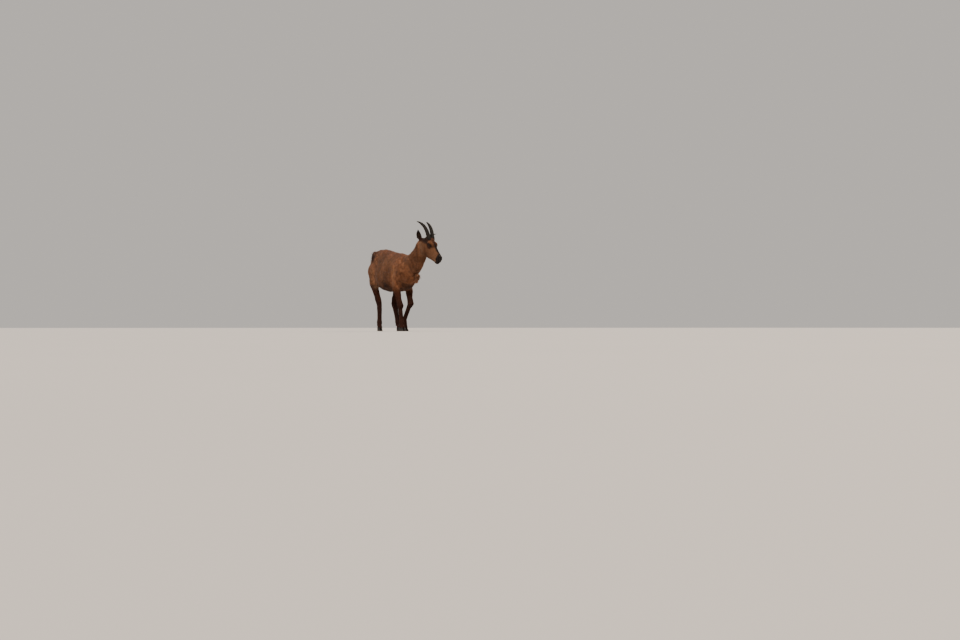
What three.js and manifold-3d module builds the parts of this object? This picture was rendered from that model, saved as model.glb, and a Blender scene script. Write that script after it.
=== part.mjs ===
// A standing female alpine ibex, life size, in millimetres.
// The animal faces +X, its left side is +Y and +Z is up; its hooves stand on one level floor.
import * as THREE from "three";
import { mergeVertices } from "three/addons/utils/BufferGeometryUtils.js";
import Module from "manifold-3d";

const wasm = await Module();
wasm.setup();

const RIGHT = -1;
const LEFT = 1;
const GAP = 0.3; // the thin cut between two neighbouring nodes
const DEGREE = Math.PI / 180;

const vec = (x, y, z) => new THREE.Vector3(x, y, z);
const FORWARD = vec(1, 0, 0);
const UP = vec(0, 0, 1);
const DOWN = vec(0, 0, -1);

// The barrel from the buttocks to the breast: height of the back and belly lines and half width.
const TRUNK = [
  { x: -472, back: 764, belly: 572, half: 50, pinch: 0.04, square: 2.2 },
  { x: -434, back: 806, belly: 524, half: 88, pinch: 0.04, square: 2.5 },
  { x: -362, back: 829, belly: 484, half: 116, pinch: 0.06, square: 2.7 },
  { x: -285, back: 829, belly: 446, half: 130, pinch: 0.13, square: 2.5 },
  { x: -205, back: 812, belly: 416, half: 144, pinch: 0.2, square: 2.2 },
  { x: -110, back: 794, belly: 394, half: 161, pinch: 0.26, square: 2.15 },
  { x: -10, back: 778, belly: 391, half: 155, pinch: 0.3, square: 2.15 },
  { x: 100, back: 768, belly: 398, half: 122, pinch: 0.3, square: 2.15 },
  { x: 190, back: 754, belly: 424, half: 98, pinch: 0.2, square: 2.1 },
  { x: 262, back: 718, belly: 478, half: 74, pinch: 0.05, square: 2 },
];
const TRUNK_AROUND = 28;
const TRUNK_ALONG = 18;
const TRUNK_DOMES = [16, 26];

// The neck from inside the breast to the back of the skull.
const NECK = [
  { at: vec(120, 0, 600), front: 150, back: 138, side: 94 },
  { at: vec(216, 10, 640), front: 111, back: 141, side: 80 },
  { at: vec(296, 32, 706), front: 78, back: 121, side: 65 },
  { at: vec(352, 50, 776), front: 67, back: 97, side: 57 },
  { at: vec(388, 62, 836), front: 64, back: 80, side: 53 },
  { at: vec(404, 70, 868), front: 50, back: 56, side: 44 },
];
const NECK_AROUND = 24;
const NECK_ALONG = 10;
const NECK_DOMES = [0, 14];

// Joints of the four legs from the top of each limb to the sole; the left fore leg is bent at the knee.
const FORE_JOINTS = {
  [RIGHT]: [
    vec(92, -34, 722),
    vec(194, -78, 590),
    vec(120, -88, 455),
    vec(163, -67, 250),
    vec(176, -56, 84),
    vec(190, -55, 40),
    vec(198, -55, 18),
  ],
  [LEFT]: [
    vec(86, 34, 720),
    vec(188, 77, 585),
    vec(62, 84, 440),
    vec(131, 64, 272),
    vec(30, 52, 114),
    vec(43, 51, 50),
    vec(54, 51, 20),
  ],
};
const HIND_JOINTS = {
  [RIGHT]: [
    vec(-340, -60, 735),
    vec(-334, -98, 610),
    vec(-316, -110, 486),
    vec(-311, -48, 272),
    vec(-278, -66, 88),
    vec(-262, -71, 40),
    vec(-253, -73, 18),
  ],
  [LEFT]: [
    vec(-332, 60, 735),
    vec(-316, 98, 610),
    vec(-210, 108, 484),
    vec(-220, 72, 279),
    vec(-156, 78, 88),
    vec(-138, 82, 40),
    vec(-129, 84, 18),
  ],
};
// Half sizes down a limb: which bone, how far along it, then forward, backward and sideways.
const FORE_SIZES = [
  { bone: 0, along: 0, front: 40, back: 44, side: 14 },
  { bone: 0, along: 0.45, front: 68, back: 80, side: 27 },
  { bone: 0, along: 0.95, front: 72, back: 92, side: 37 },
  { bone: 1, along: 0.5, front: 60, back: 62, side: 39 },
  { bone: 2, along: 0, front: 42, back: 47, side: 36 },
  { bone: 2, along: 0.35, front: 40, back: 42, side: 32 },
  { bone: 2, along: 0.7, front: 30, back: 29, side: 26 },
  { bone: 3, along: 0, front: 37, back: 27, side: 30 },
  { bone: 3, along: 0.2, front: 24, back: 23, side: 23.5 },
  { bone: 3, along: 0.55, front: 20.5, back: 21.5, side: 21 },
  { bone: 3, along: 0.84, front: 21, back: 22.5, side: 21.5 },
  { bone: 4, along: 0, front: 23.5, back: 26, side: 24 },
  { bone: 4, along: 0.55, front: 20, back: 21.5, side: 22 },
  { bone: 5, along: 0, front: 24, back: 24, side: 26 },
  { bone: 5, along: 1, front: 22, back: 22, side: 24 },
];
const HIND_SIZES = [
  { bone: 0, along: 0, front: 70, back: 66, side: 28 },
  { bone: 0, along: 0.55, front: 98, back: 92, side: 45 },
  { bone: 1, along: 0, front: 108, back: 102, side: 52 },
  { bone: 1, along: 0.55, front: 100, back: 76, side: 48 },
  { bone: 2, along: 0, front: 66, back: 72, side: 42 },
  { bone: 2, along: 0.26, front: 36, back: 54, side: 34 },
  { bone: 2, along: 0.6, front: 29, back: 42, side: 28 },
  { bone: 3, along: 0, front: 29, back: 40, side: 29 },
  { bone: 3, along: 0.2, front: 26, back: 29, side: 26 },
  { bone: 3, along: 0.55, front: 23, back: 24, side: 22.5 },
  { bone: 3, along: 0.84, front: 23, back: 24.5, side: 23 },
  { bone: 4, along: 0, front: 24, back: 27, side: 24.5 },
  { bone: 4, along: 0.55, front: 20, back: 22, side: 22 },
  { bone: 5, along: 0, front: 23, back: 24, side: 26 },
  { bone: 5, along: 1, front: 21, back: 22, side: 24 },
];
const LEG_AROUND = 14;
const LEG_ALONG = 26;
const FORE_LEG_TOP = 436; // where the fore legs leave the breast
const HIND_LEG_TOP = 448; // where the thighs leave the flank
const HIND_LEG_SLOPE = 18; // rise of that cut towards the rump, degrees
const LEG_INNER = 34; // distance of the inner side of a leg's cut from the middle line

// The foot: two claws side by side under the coronet, two dew claws behind the fetlock.
const CLAW = { toe: 36, heel: 25, half: 11.5, apart: 12.6, height: 52, lean: 17, topToe: 17, topHeel: 19, topHalf: 10.5 };
const CLAW_TOE_PINCH = 0.34;
const CLAW_AROUND = 14;
const CORONET = { height: 37, tilt: 16 };
const DEWCLAW = { back: 15, apart: 11, drop: 13, length: 23, root: 8.5, tip: 4.5 };
const FOOT_SPLAY = { fore: 4, hind: 9 };

// The head lies along its palate: x runs from the back of the skull to the nose.
const HEAD_AT = vec(348, 45, 825.2);
const HEAD_YAW = 23;
const HEAD_PITCH = 27;
const SKULL = [
  { x: 2, top: 101, bottom: 2, half: 43, pinch: 0.05 },
  { x: 28, top: 115, bottom: -30, half: 53, pinch: 0.03 },
  { x: 60, top: 128, bottom: -50, half: 56, pinch: 0.04 },
  { x: 95, top: 133, bottom: -57, half: 56, pinch: 0.02 },
  { x: 130, top: 114, bottom: -59, half: 50, pinch: 0.0 },
  { x: 165, top: 89, bottom: -60, half: 41, pinch: 0.04 },
  { x: 200, top: 67, bottom: -58, half: 33, pinch: 0.08 },
  { x: 235, top: 47, bottom: -57, half: 29, pinch: 0.06 },
  { x: 265, top: 32, bottom: -57, half: 28.5, pinch: 0.0 },
  { x: 285, top: 19, bottom: -48, half: 24, pinch: 0.0 },
];
const SKULL_AROUND = 20;
const SKULL_ALONG = 15;
const SKULL_DOMES = [10, 10];
const EYE = { x: 143, y: 40, z: 73, radius: 14.5, lid: 2.6, length: 14.5, height: 9.4, tilt: -14 };
const MOUTH = { back: 246, z: -28, height: 2.4, depth: 6, tilt: 6 };
const HORN = {
  path: [vec(0, 0, 0), vec(-18, 3, 20), vec(-57, 9, 62), vec(-100, 21, 91), vec(-146, 38, 105), vec(-184, 54, 107)],
  at: vec(102, 29, 118),
  front: [20, 20, 18, 14.5, 10, 4],
  side: [16, 16, 14.5, 11.5, 8, 3.6],
  ridges: 8,
  ridgeDepth: 0.045,
  around: 10,
  along: 26,
};
const EAR = {
  root: vec(11, 49, 86),
  length: 104,
  half: [12, 16, 21, 21.5, 18, 11, 3],
  cup: [0.1, 0.55, 0.8, 0.85, 0.8, 0.7, 0.5],
  thick: [9, 5, 4, 3.6, 3.2, 2.8, 1.6],
  around: 14,
  along: 10,
  sink: 14,
};
// The way each ear points and opens, in the head's own frame.
const EAR_POSE = {
  [RIGHT]: { along: vec(-0.26, -0.56, 0.79), open: vec(0.84, -0.32, 0.2) },
  [LEFT]: { along: vec(0.33, 0.56, 0.77), open: vec(0.8, 0.2, -0.5) },
};

const TAIL = {
  path: [vec(-436, 0, 774), vec(-464, -4, 784), vec(-484, -12, 768), vec(-496, -21, 738), vec(-500, -28, 706)],
  half: [24, 27, 24, 18, 7],
  locks: 10,
  lockLength: 40,
  lockHalf: 13,
};
// The loose clump of last winter's wool that hangs at the breast.
const CLUMP = { at: vec(322, 28, 538), size: vec(29, 28, 33), locks: 12, lockLength: 32, lockHalf: 18 };

const COLOURS = {
  coat: 0x7a5640,
  darkCoat: 0x33211a,
  horn: 0x2b2421,
  hoof: 0x26201d,
  eye: 0x1a0f08,
};

/** The value at t, from 0 to 1, of a smooth curve through evenly spaced values. */
function blend(values, t) {
  const last = values.length - 1;
  const s = THREE.MathUtils.clamp(t, 0, 1) * last;
  const i = Math.min(Math.floor(s), last - 1);
  const f = s - i;
  const at = (k) => values[THREE.MathUtils.clamp(k, 0, last)];
  const [a, b, c, d] = [at(i - 1), at(i), at(i + 1), at(i + 2)];
  return b + 0.5 * f * (c - a + f * (2 * a - 5 * b + 4 * c - d + f * (3 * (b - c) + d - a)));
}

/** A signed power, for a section between an ellipse and a rounded rectangle. */
const signedPower = (value, power) => Math.sign(value) * Math.abs(value) ** power;

/** A closed solid from rings of points; a ring of one point closes that end to a tip. */
function solidOfRings(rings) {
  const points = [];
  const faces = [];
  const starts = rings.map((ring) => {
    points.push(...ring);
    return points.length - ring.length;
  });
  const centreOf = (ring) => ring.reduce((sum, p) => sum.add(p), vec(0, 0, 0)).divideScalar(ring.length);
  const fan = (ring, start, forward) => {
    const centre = points.push(centreOf(ring)) - 1;
    for (let j = 0; j < ring.length; j += 1) {
      const k = (j + 1) % ring.length;
      faces.push(...(forward ? [centre, start + j, start + k] : [centre, start + k, start + j]));
    }
  };
  for (let i = 0; i + 1 < rings.length; i += 1) {
    const [a, b] = [starts[i], starts[i + 1]];
    const count = Math.max(rings[i].length, rings[i + 1].length);
    for (let j = 0; j < count; j += 1) {
      const k = (j + 1) % count;
      if (rings[i].length > 1) faces.push(a + j, a + k, rings[i + 1].length > 1 ? b + k : b);
      if (rings[i + 1].length > 1) faces.push(rings[i].length > 1 ? a + j : a, b + k, b + j);
    }
  }
  if (rings[0].length > 1) fan(rings[0], starts[0], false);
  if (rings.at(-1).length > 1) fan(rings.at(-1), starts.at(-1), true);
  return new wasm.Manifold(
    new wasm.Mesh({
      numProp: 3,
      vertProperties: new Float32Array(points.flatMap((p) => [p.x, p.y, p.z])),
      triVerts: new Uint32Array(faces),
    }),
  );
}

/**
 * A solid swept along a smooth path through stations. Each station has its centre and its half
 * sizes towards the reference direction (front), away from it (back) and sideways.
 */
function loft(stations, { around, along, across, domes = [0, 0], square = 2, swell = () => 1, grow = 0 }) {
  const path = new THREE.CatmullRomCurve3(stations.map((s) => s.at), false, "catmullrom", 0.5);
  const rows = { front: 0, back: 0, side: 0, pinch: 0, square };
  const sizes = Object.entries(rows).map(([key, usual]) => stations.map((s) => s[key] ?? usual));
  const ringAt = (t, scale, shift) => {
    const ahead = path.getTangent(t);
    const front = across.clone().addScaledVector(ahead, -across.dot(ahead)).normalize();
    const side = front.clone().cross(ahead);
    const [f, b, s, pinch, corner] = sizes.map((values) => blend(values, t));
    const factor = scale * swell(t);
    const centre = path.getPoint(t).addScaledVector(ahead, shift);
    return Array.from({ length: around }, (_, j) => {
      const angle = (2 * Math.PI * j) / around;
      const [c, n] = [signedPower(Math.cos(angle), 2 / corner), signedPower(Math.sin(angle), 2 / corner)];
      const reach = (n > 0 ? f : b) * factor + grow;
      const width = (s * factor + grow) * (1 - pinch * n);
      return centre.clone().addScaledVector(front, reach * n).addScaledVector(side, width * c);
    });
  };
  const dome = (t, height, sign) =>
    [35, 65].map((a) => ringAt(t, Math.cos(a * DEGREE), sign * (height + grow) * Math.sin(a * DEGREE)));
  const tip = (t, height) => [path.getPoint(t).addScaledVector(path.getTangent(t), height + Math.sign(height) * grow)];
  const rings = Array.from({ length: along + 1 }, (_, i) => ringAt(i / along, 1, 0));
  if (domes[0]) rings.unshift(tip(0, -domes[0]), ...dome(0, domes[0], -1).reverse());
  if (domes[1]) rings.push(...dome(1, domes[1], 1), tip(1, domes[1]));
  return solidOfRings(rings);
}

/** A closed solid from a closed three.js geometry. */
function solidOf(geometry) {
  geometry.deleteAttribute("normal");
  geometry.deleteAttribute("uv");
  const merged = mergeVertices(geometry);
  return new wasm.Manifold(
    new wasm.Mesh({
      numProp: 3,
      vertProperties: new Float32Array(merged.attributes.position.array),
      triVerts: new Uint32Array(merged.index.array),
    }),
  );
}

/** An ellipsoid about a point with three half sizes. */
function ellipsoid(at, size, around = 10) {
  const ball = new THREE.SphereGeometry(1, around, Math.round(around * 0.6));
  return solidOf(ball.rotateX(Math.PI / 2).scale(size.x, size.y, size.z).translate(at.x, at.y, at.z));
}

/** A box that stands on one face: centre of that face, the way it extends, and its three sizes. */
function block(at, ahead, across, size, grow = 0) {
  const z = ahead.clone().normalize();
  const y = across.clone().addScaledVector(z, -across.dot(z)).normalize();
  const x = y.clone().cross(z);
  const box = new THREE.BoxGeometry(size.x + 2 * grow, size.y + 2 * grow, size.z + 2 * grow);
  const turn = new THREE.Matrix4().makeBasis(x, y, z);
  const middle = at.clone().addScaledVector(z, size.z / 2);
  return solidOf(box.applyMatrix4(turn.setPosition(middle)));
}

/** The largest closed body of a solid. */
function largest(solid) {
  return solid.decompose().reduce((best, part) => (part.volume() > best.volume() ? part : best));
}

/** Parts a solid at a block: what lies inside it, and the rest beyond a thin gap. */
function part(solid, at, ahead, across, size) {
  return [
    largest(solid.intersect(block(at, ahead, across, size))),
    largest(solid.subtract(block(at, ahead, across, size, GAP))),
  ];
}

/** One flat tapered lock of hair from a root, along a direction, bending towards a fall direction. */
function lock(root, ahead, fall, length, half, across) {
  const stations = [-0.35, 0.15, 0.5, 0.8, 1].map((t) => ({
    at: root.clone().addScaledVector(ahead, length * t).addScaledVector(fall, length * 0.45 * Math.max(t, 0) ** 2),
    front: half * (t < 0.5 ? 0.42 : 0.42 * (1.25 - t)),
    back: half * (t < 0.5 ? 0.42 : 0.42 * (1.25 - t)),
    side: half * (t < 0.3 ? 1 : 1.34 - t),
  }));
  return loft(stations, { around: 5, along: 3, across });
}

/** The barrel of the body. */
function trunk() {
  const stations = TRUNK.map(({ x, back, belly, half, pinch, square }) => {
    const middle = belly + 0.47 * (back - belly);
    return { at: vec(x, 0, middle), front: back - middle, back: middle - belly, side: half, pinch, square };
  });
  return loft(stations, { around: TRUNK_AROUND, along: TRUNK_ALONG, across: UP, domes: TRUNK_DOMES });
}

/** One whole limb from its top inside the body to below the coronet. */
function limb(joints, sizes) {
  const stations = sizes.map(({ bone, along, front, back, side }) => ({
    at: joints[bone].clone().lerp(joints[bone + 1], along),
    front,
    back,
    side,
  }));
  return loft(stations, { around: LEG_AROUND, along: LEG_ALONG, across: FORWARD, domes: [22, 0] });
}

/** The matrix from a foot's own frame, toe along +X on the floor, to the animal's. */
function footFrame(joints, side, splay) {
  const sole = joints.at(-1);
  return new THREE.Matrix4().makeRotationZ(side * splay * DEGREE).setPosition(sole.x, sole.y, 0);
}

/** One claw of a foot, wide at the sole, leaning back to the coronet. */
function claw(inner) {
  const stations = [-0.25, 0.1, 0.55, 1].map((t) => ({
    at: vec(-CLAW.lean * t, inner * CLAW.apart, CLAW.height * t),
    front: THREE.MathUtils.lerp(CLAW.toe, CLAW.topToe, t),
    back: THREE.MathUtils.lerp(CLAW.heel, CLAW.topHeel, t),
    side: THREE.MathUtils.lerp(CLAW.half, CLAW.topHalf, t),
    pinch: CLAW_TOE_PINCH * (1 - 0.5 * t),
  }));
  const form = loft(stations, { around: CLAW_AROUND, along: 5, across: FORWARD, square: 2.3 });
  return form.intersect(block(vec(0, 0, 0), UP, FORWARD, vec(200, 200, 200)));
}

/** One dew claw behind the fetlock, pointing down and back. */
function dewclaw(joints, outer, grow) {
  const fetlock = joints.at(-3).clone().lerp(joints.at(-2), 0.3);
  const stations = [0, 0.5, 1].map((t) => ({
    at: fetlock.clone().add(vec(-DEWCLAW.back - 10 * t, outer * (DEWCLAW.apart + 2 * t), -DEWCLAW.drop * t * 1.4)),
    front: THREE.MathUtils.lerp(DEWCLAW.root, DEWCLAW.tip, t * t),
    back: THREE.MathUtils.lerp(DEWCLAW.root, DEWCLAW.tip, t * t),
    side: THREE.MathUtils.lerp(DEWCLAW.root, DEWCLAW.tip, t * t),
  }));
  return loft(stations, { around: 7, along: 2, across: FORWARD, domes: [2, 3], grow });
}

/** The skull's long form; inset makes a smaller core of the same form. */
function skull(inset = 0) {
  const stations = SKULL.map(({ x, top, bottom, half, pinch }) => {
    const middle = (top + bottom) / 2;
    return {
      at: vec(x, 0, middle),
      front: top - middle - inset,
      back: middle - bottom - inset,
      side: half - inset,
      pinch,
    };
  });
  const domes = inset ? [0, 0] : SKULL_DOMES;
  return loft(stations, { around: SKULL_AROUND, along: SKULL_ALONG, across: UP, domes, square: 2.15 });
}

/** The eyeball, or with a growth its socket. */
const eyeball = (side, grow = 0) => {
  const radius = EYE.radius + grow;
  return ellipsoid(vec(EYE.x, side * EYE.y, EYE.z), vec(radius, radius, radius), 14);
};

/** The almond opening between the lids, as a plug that runs outwards from the eye. */
function eyeOpening(side) {
  const centre = vec(EYE.x, side * (EYE.y + 2), EYE.z);
  const outward = vec(0.12, side, 0.05).normalize();
  const tilt = EYE.tilt * DEGREE;
  const stations = [0, 1].map((t) => ({
    at: centre.clone().addScaledVector(outward, 26 * t),
    front: EYE.length * (1 + 0.25 * t),
    back: EYE.length * (1 + 0.25 * t),
    side: EYE.height * (1 + 0.25 * t),
  }));
  return loft(stations, { around: 14, along: 1, across: vec(Math.cos(tilt), 0, Math.sin(tilt)), square: 1.55 });
}

/** One horn with its faint ridges; a growth gives its seat in the skull. */
function horn(side, grow = 0) {
  const origin = vec(HORN.at.x, side * HORN.at.y, HORN.at.z);
  const stations = HORN.path.map((p, i) => ({
    at: origin.clone().add(vec(p.x, side * p.y, p.z)),
    front: HORN.front[i],
    back: HORN.front[i],
    side: HORN.side[i],
  }));
  const ridge = (t) => 1 + HORN.ridgeDepth * Math.sin(2 * Math.PI * HORN.ridges * t) * (1 - t) * Math.min(1, 6 * t);
  return loft(stations, {
    around: HORN.around,
    along: HORN.along,
    across: FORWARD,
    domes: [5, 4],
    swell: ridge,
    grow,
  });
}

/** One cupped ear: a leaf whose section bends round a hollow. */
function ear(side, grow = 0) {
  const { along, open } = EAR_POSE[side];
  const ahead = along.clone().normalize();
  const mouth = open.clone().addScaledVector(ahead, -open.dot(ahead)).normalize();
  const across = mouth.clone().cross(ahead);
  const root = vec(EAR.root.x, side * EAR.root.y, EAR.root.z).addScaledVector(ahead, -EAR.sink - grow);
  const total = EAR.length + EAR.sink + 2 * grow;
  const rings = Array.from({ length: EAR.along + 1 }, (_, i) => {
    const t = i / EAR.along;
    const [half, cup, thick] = [EAR.half, EAR.cup, EAR.thick].map((values) => blend(values, t));
    const curl = 10 * Math.sin(Math.PI * t);
    const centre = root.clone().addScaledVector(ahead, total * t).addScaledVector(mouth, -curl);
    const steps = EAR.around / 2;
    return Array.from({ length: EAR.around }, (_, j) => {
      const inner = j > steps;
      const u = inner ? (EAR.around - j) / steps : j / steps;
      const angle = Math.PI * u;
      const wide = -Math.cos(angle) * (half + grow);
      const edge = Math.sin(angle);
      const deep = -edge * cup * half;
      const layer = ((inner ? 1 : -1) * edge * (thick + 2 * grow)) / 2;
      return centre.clone().addScaledVector(across, wide).addScaledVector(mouth, deep + layer);
    });
  });
  return solidOfRings(rings);
}

/** The seat of an ear in the skull. */
const earSeat = (side) => ear(side, GAP).add(ear(side));

/** The head with sockets, lids, nostrils, mouth line, and seats for the horns and ears. */
function head() {
  let solid = skull();
  const add = (form) => {
    solid = solid.add(form);
  };
  const cut = (form) => {
    solid = solid.subtract(form);
  };
  add(ellipsoid(vec(92, 0, 112), vec(52, 46, 24), 12));
  add(ellipsoid(vec(272, 0, 8), vec(21, 25, 22), 12));
  add(ellipsoid(vec(262, 0, -48), vec(23, 21, 15), 10));
  for (const side of [RIGHT, LEFT]) {
    add(ellipsoid(vec(88, side * 29, 4), vec(64, 29, 58), 10));
    add(ellipsoid(vec(134, side * 29, 78), vec(46, 26, 34), 12));
    add(ellipsoid(vec(137, side * 40, 88), vec(31, 20, 13), 10));
    add(ellipsoid(vec(246, side * 14, -10), vec(38, 18, 22), 10));
    add(ellipsoid(vec(20, side * 33, 76), vec(32, 19, 26), 10));
    add(eyeball(side, EYE.lid));
  }
  for (const side of [RIGHT, LEFT]) {
    cut(eyeOpening(side));
    cut(eyeball(side, GAP));
    cut(nostril(side));
    cut(horn(side, GAP));
    cut(earSeat(side));
  }
  cut(mouthLine());
  return largest(solid);
}

/** A comma-shaped nostril that opens forwards and curls up the side of the nose. */
function nostril(side) {
  const stations = [
    { at: vec(284, side * 7, 8), front: 4.2, back: 4.2, side: 6 },
    { at: vec(283, side * 14, 13), front: 4.6, back: 4.6, side: 6 },
    { at: vec(277, side * 21, 19), front: 2.8, back: 2.8, side: 5 },
    { at: vec(270, side * 25, 22), front: 1.2, back: 1.2, side: 3 },
  ];
  return loft(stations, { around: 10, along: 6, across: UP, domes: [2, 1] });
}

/** The groove between the lips, cut to an even depth round the muzzle. */
function mouthLine() {
  const tilt = MOUTH.tilt * DEGREE;
  const ahead = vec(Math.cos(tilt), 0, Math.sin(tilt));
  const slab = block(vec(MOUTH.back, 0, MOUTH.z), ahead, UP, vec(120, MOUTH.height, 90));
  return slab.subtract(skull(MOUTH.depth));
}

/** The short tail: a core with overlapping locks that flare to a dark tuft. */
function tail(grow = 0) {
  const stations = TAIL.path.map((at, i) => ({
    at,
    front: TAIL.half[i],
    back: TAIL.half[i],
    side: TAIL.half[i] * 1.15,
  }));
  let solid = loft(stations, { around: 9, along: 7, across: UP, domes: [6, 3], grow });
  if (grow) return solid;
  const path = new THREE.CatmullRomCurve3(TAIL.path);
  for (let i = 0; i < TAIL.locks; i += 1) {
    const t = 0.42 + 0.5 * ((i * 0.37) % 1);
    const angle = (i * 137.5) * DEGREE;
    const out = vec(-0.3 * Math.abs(Math.cos(angle)), Math.sin(angle), 0.25 * Math.cos(angle));
    const root = path.getPoint(t).addScaledVector(out, 8);
    const ahead = path.getTangent(t).addScaledVector(out, 0.24).normalize();
    solid = solid.add(lock(root, ahead, DOWN.clone().multiplyScalar(0.3), TAIL.lockLength, TAIL.lockHalf, out));
  }
  return largest(solid);
}

/** The clump of loose wool at the breast: a core with overlapping hanging locks. */
function woolClump(grow = 0) {
  let solid = ellipsoid(CLUMP.at, CLUMP.size.clone().addScalar(grow), 12);
  if (grow) return solid;
  for (let i = 0; i < CLUMP.locks; i += 1) {
    const rise = 0.75 - (1.5 * (i + 0.5)) / CLUMP.locks;
    const turn = ((i * 0.618) % 1) * Math.PI - Math.PI / 2;
    const reach = Math.sqrt(1 - rise * rise);
    const out = vec(reach * Math.cos(turn), reach * Math.sin(turn), rise);
    const root = CLUMP.at.clone().add(out.clone().multiply(CLUMP.size).multiplyScalar(0.72));
    const ahead = out.clone().multiplyScalar(0.75).add(vec(0.1, 0, -0.8)).normalize();
    solid = solid.add(lock(root, ahead, vec(-0.1, 0, -0.4), CLUMP.lockLength, CLUMP.lockHalf, out));
  }
  return largest(solid);
}

/** A three.js mesh of a solid with its own material. */
function meshOf(name, solid, colour, roughness) {
  const data = solid.getMesh();
  const geometry = new THREE.BufferGeometry();
  geometry.setAttribute("position", new THREE.BufferAttribute(new Float32Array(data.vertProperties), 3));
  geometry.setIndex(new THREE.BufferAttribute(new Uint32Array(data.triVerts), 1));
  geometry.computeVertexNormals();
  const mesh = new THREE.Mesh(geometry, new THREE.MeshStandardMaterial({ color: colour, roughness }));
  mesh.name = name;
  return mesh;
}

const headMatrix = new THREE.Matrix4()
  .makeRotationZ(HEAD_YAW * DEGREE)
  .multiply(new THREE.Matrix4().makeRotationY(HEAD_PITCH * DEGREE))
  .setPosition(HEAD_AT);
const placed = (solid) => solid.transform(headMatrix.elements);

const nodes = new Map();
const keep = (name, solid, colour, roughness = 0.8) => nodes.set(name, [solid, colour, roughness]);
const sideName = { [RIGHT]: "right", [LEFT]: "left" };

let body = trunk().add(loft(NECK, { around: NECK_AROUND, along: NECK_ALONG, across: UP, domes: NECK_DOMES }));
for (const side of [RIGHT, LEFT]) {
  body = body.add(limb(FORE_JOINTS[side], FORE_SIZES)).add(limb(HIND_JOINTS[side], HIND_SIZES));
}
for (const form of [woolClump, tail]) body = body.subtract(form(GAP)).subtract(form());
body = body.add(placed(head()));
for (const side of [RIGHT, LEFT]) {
  for (const form of [horn(side, GAP), earSeat(side), eyeball(side, GAP)]) body = body.subtract(placed(form));
}

// The head parts from the neck behind the ears and the jaw, the neck from the trunk at the withers.
const headDirection = vec(Math.cos(HEAD_YAW * DEGREE), Math.sin(HEAD_YAW * DEGREE), 0);
const [headNode, headless] = part(body, vec(383, 60, 800), headDirection, UP, vec(340, 340, 400));
const [neckNode, neckless] = part(headless, vec(226, 8, 668), vec(0.75, 0.12, 0.65), UP, vec(420, 420, 360));
let torso = neckless;

for (const side of [RIGHT, LEFT]) {
  const legs = [
    ["front", FORE_JOINTS[side], vec(130, side * (LEG_INNER + 100), FORE_LEG_TOP), 0, 250, FOOT_SPLAY.fore],
    ["hind", HIND_JOINTS[side], vec(-300, side * (LEG_INNER + 100), HIND_LEG_TOP), HIND_LEG_SLOPE, 700, FOOT_SPLAY.hind],
  ];
  for (const [where, joints, at, slope, reach, splay] of legs) {
    const ahead = vec(-Math.sin(slope * DEGREE), 0, -Math.cos(slope * DEGREE));
    const [whole, rest] = part(torso, at, ahead, FORWARD, vec(200, reach, 520));
    torso = rest;
    const frame = footFrame(joints, side, splay);
    const foot = (solid) => solid.transform(frame.elements);
    const tilt = CORONET.tilt * DEGREE;
    const plane = vec(0, 0, CORONET.height);
    const below = vec(Math.sin(tilt), 0, -Math.cos(tilt));
    const cutter = (grow) => foot(block(plane, below, FORWARD, vec(120, 160, 120), grow));
    let leg = whole.subtract(cutter(GAP));
    for (const inner of [-1, 1]) {
      const name = inner === side ? "outer" : "inner";
      const label = `${where}_${sideName[side]}_${name}`;
      keep(`hoof_${label}`, foot(claw(inner)).intersect(cutter(0)), COLOURS.hoof, 0.5);
      keep(`dewclaw_${label}`, dewclaw(joints, inner, 0), COLOURS.hoof, 0.5);
      leg = leg.subtract(dewclaw(joints, inner, GAP));
    }
    keep(`leg_${where}_${sideName[side]}`, largest(leg), COLOURS.darkCoat);
  }
  keep(`horn_${sideName[side]}`, placed(horn(side)), COLOURS.horn, 0.55);
  keep(`ear_${sideName[side]}`, placed(ear(side)), COLOURS.darkCoat);
  keep(`eye_${sideName[side]}`, placed(eyeball(side)), COLOURS.eye, 0.15);
}
keep("head", headNode, COLOURS.coat);
keep("neck", neckNode, COLOURS.coat);
keep("torso", torso, COLOURS.coat);
keep("tail", tail(), COLOURS.darkCoat);
keep("brisket_wool", woolClump(), COLOURS.coat);

const ibex = new THREE.Group();
ibex.name = "alpine_ibex";
for (const [name, [solid, colour, roughness]] of nodes) ibex.add(meshOf(name, solid, colour, roughness));
const bounds = new THREE.Box3().setFromObject(ibex);
const centre = bounds.getCenter(vec(0, 0, 0));
for (const mesh of ibex.children) mesh.geometry.translate(-centre.x, -centre.y, 0);

export default ibex;
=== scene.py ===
"""A standing female alpine ibex: skin, coat, horns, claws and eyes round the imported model."""

import logging
import math
from collections.abc import Callable
from dataclasses import dataclass, field
from enum import Enum
from typing import ClassVar

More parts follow.
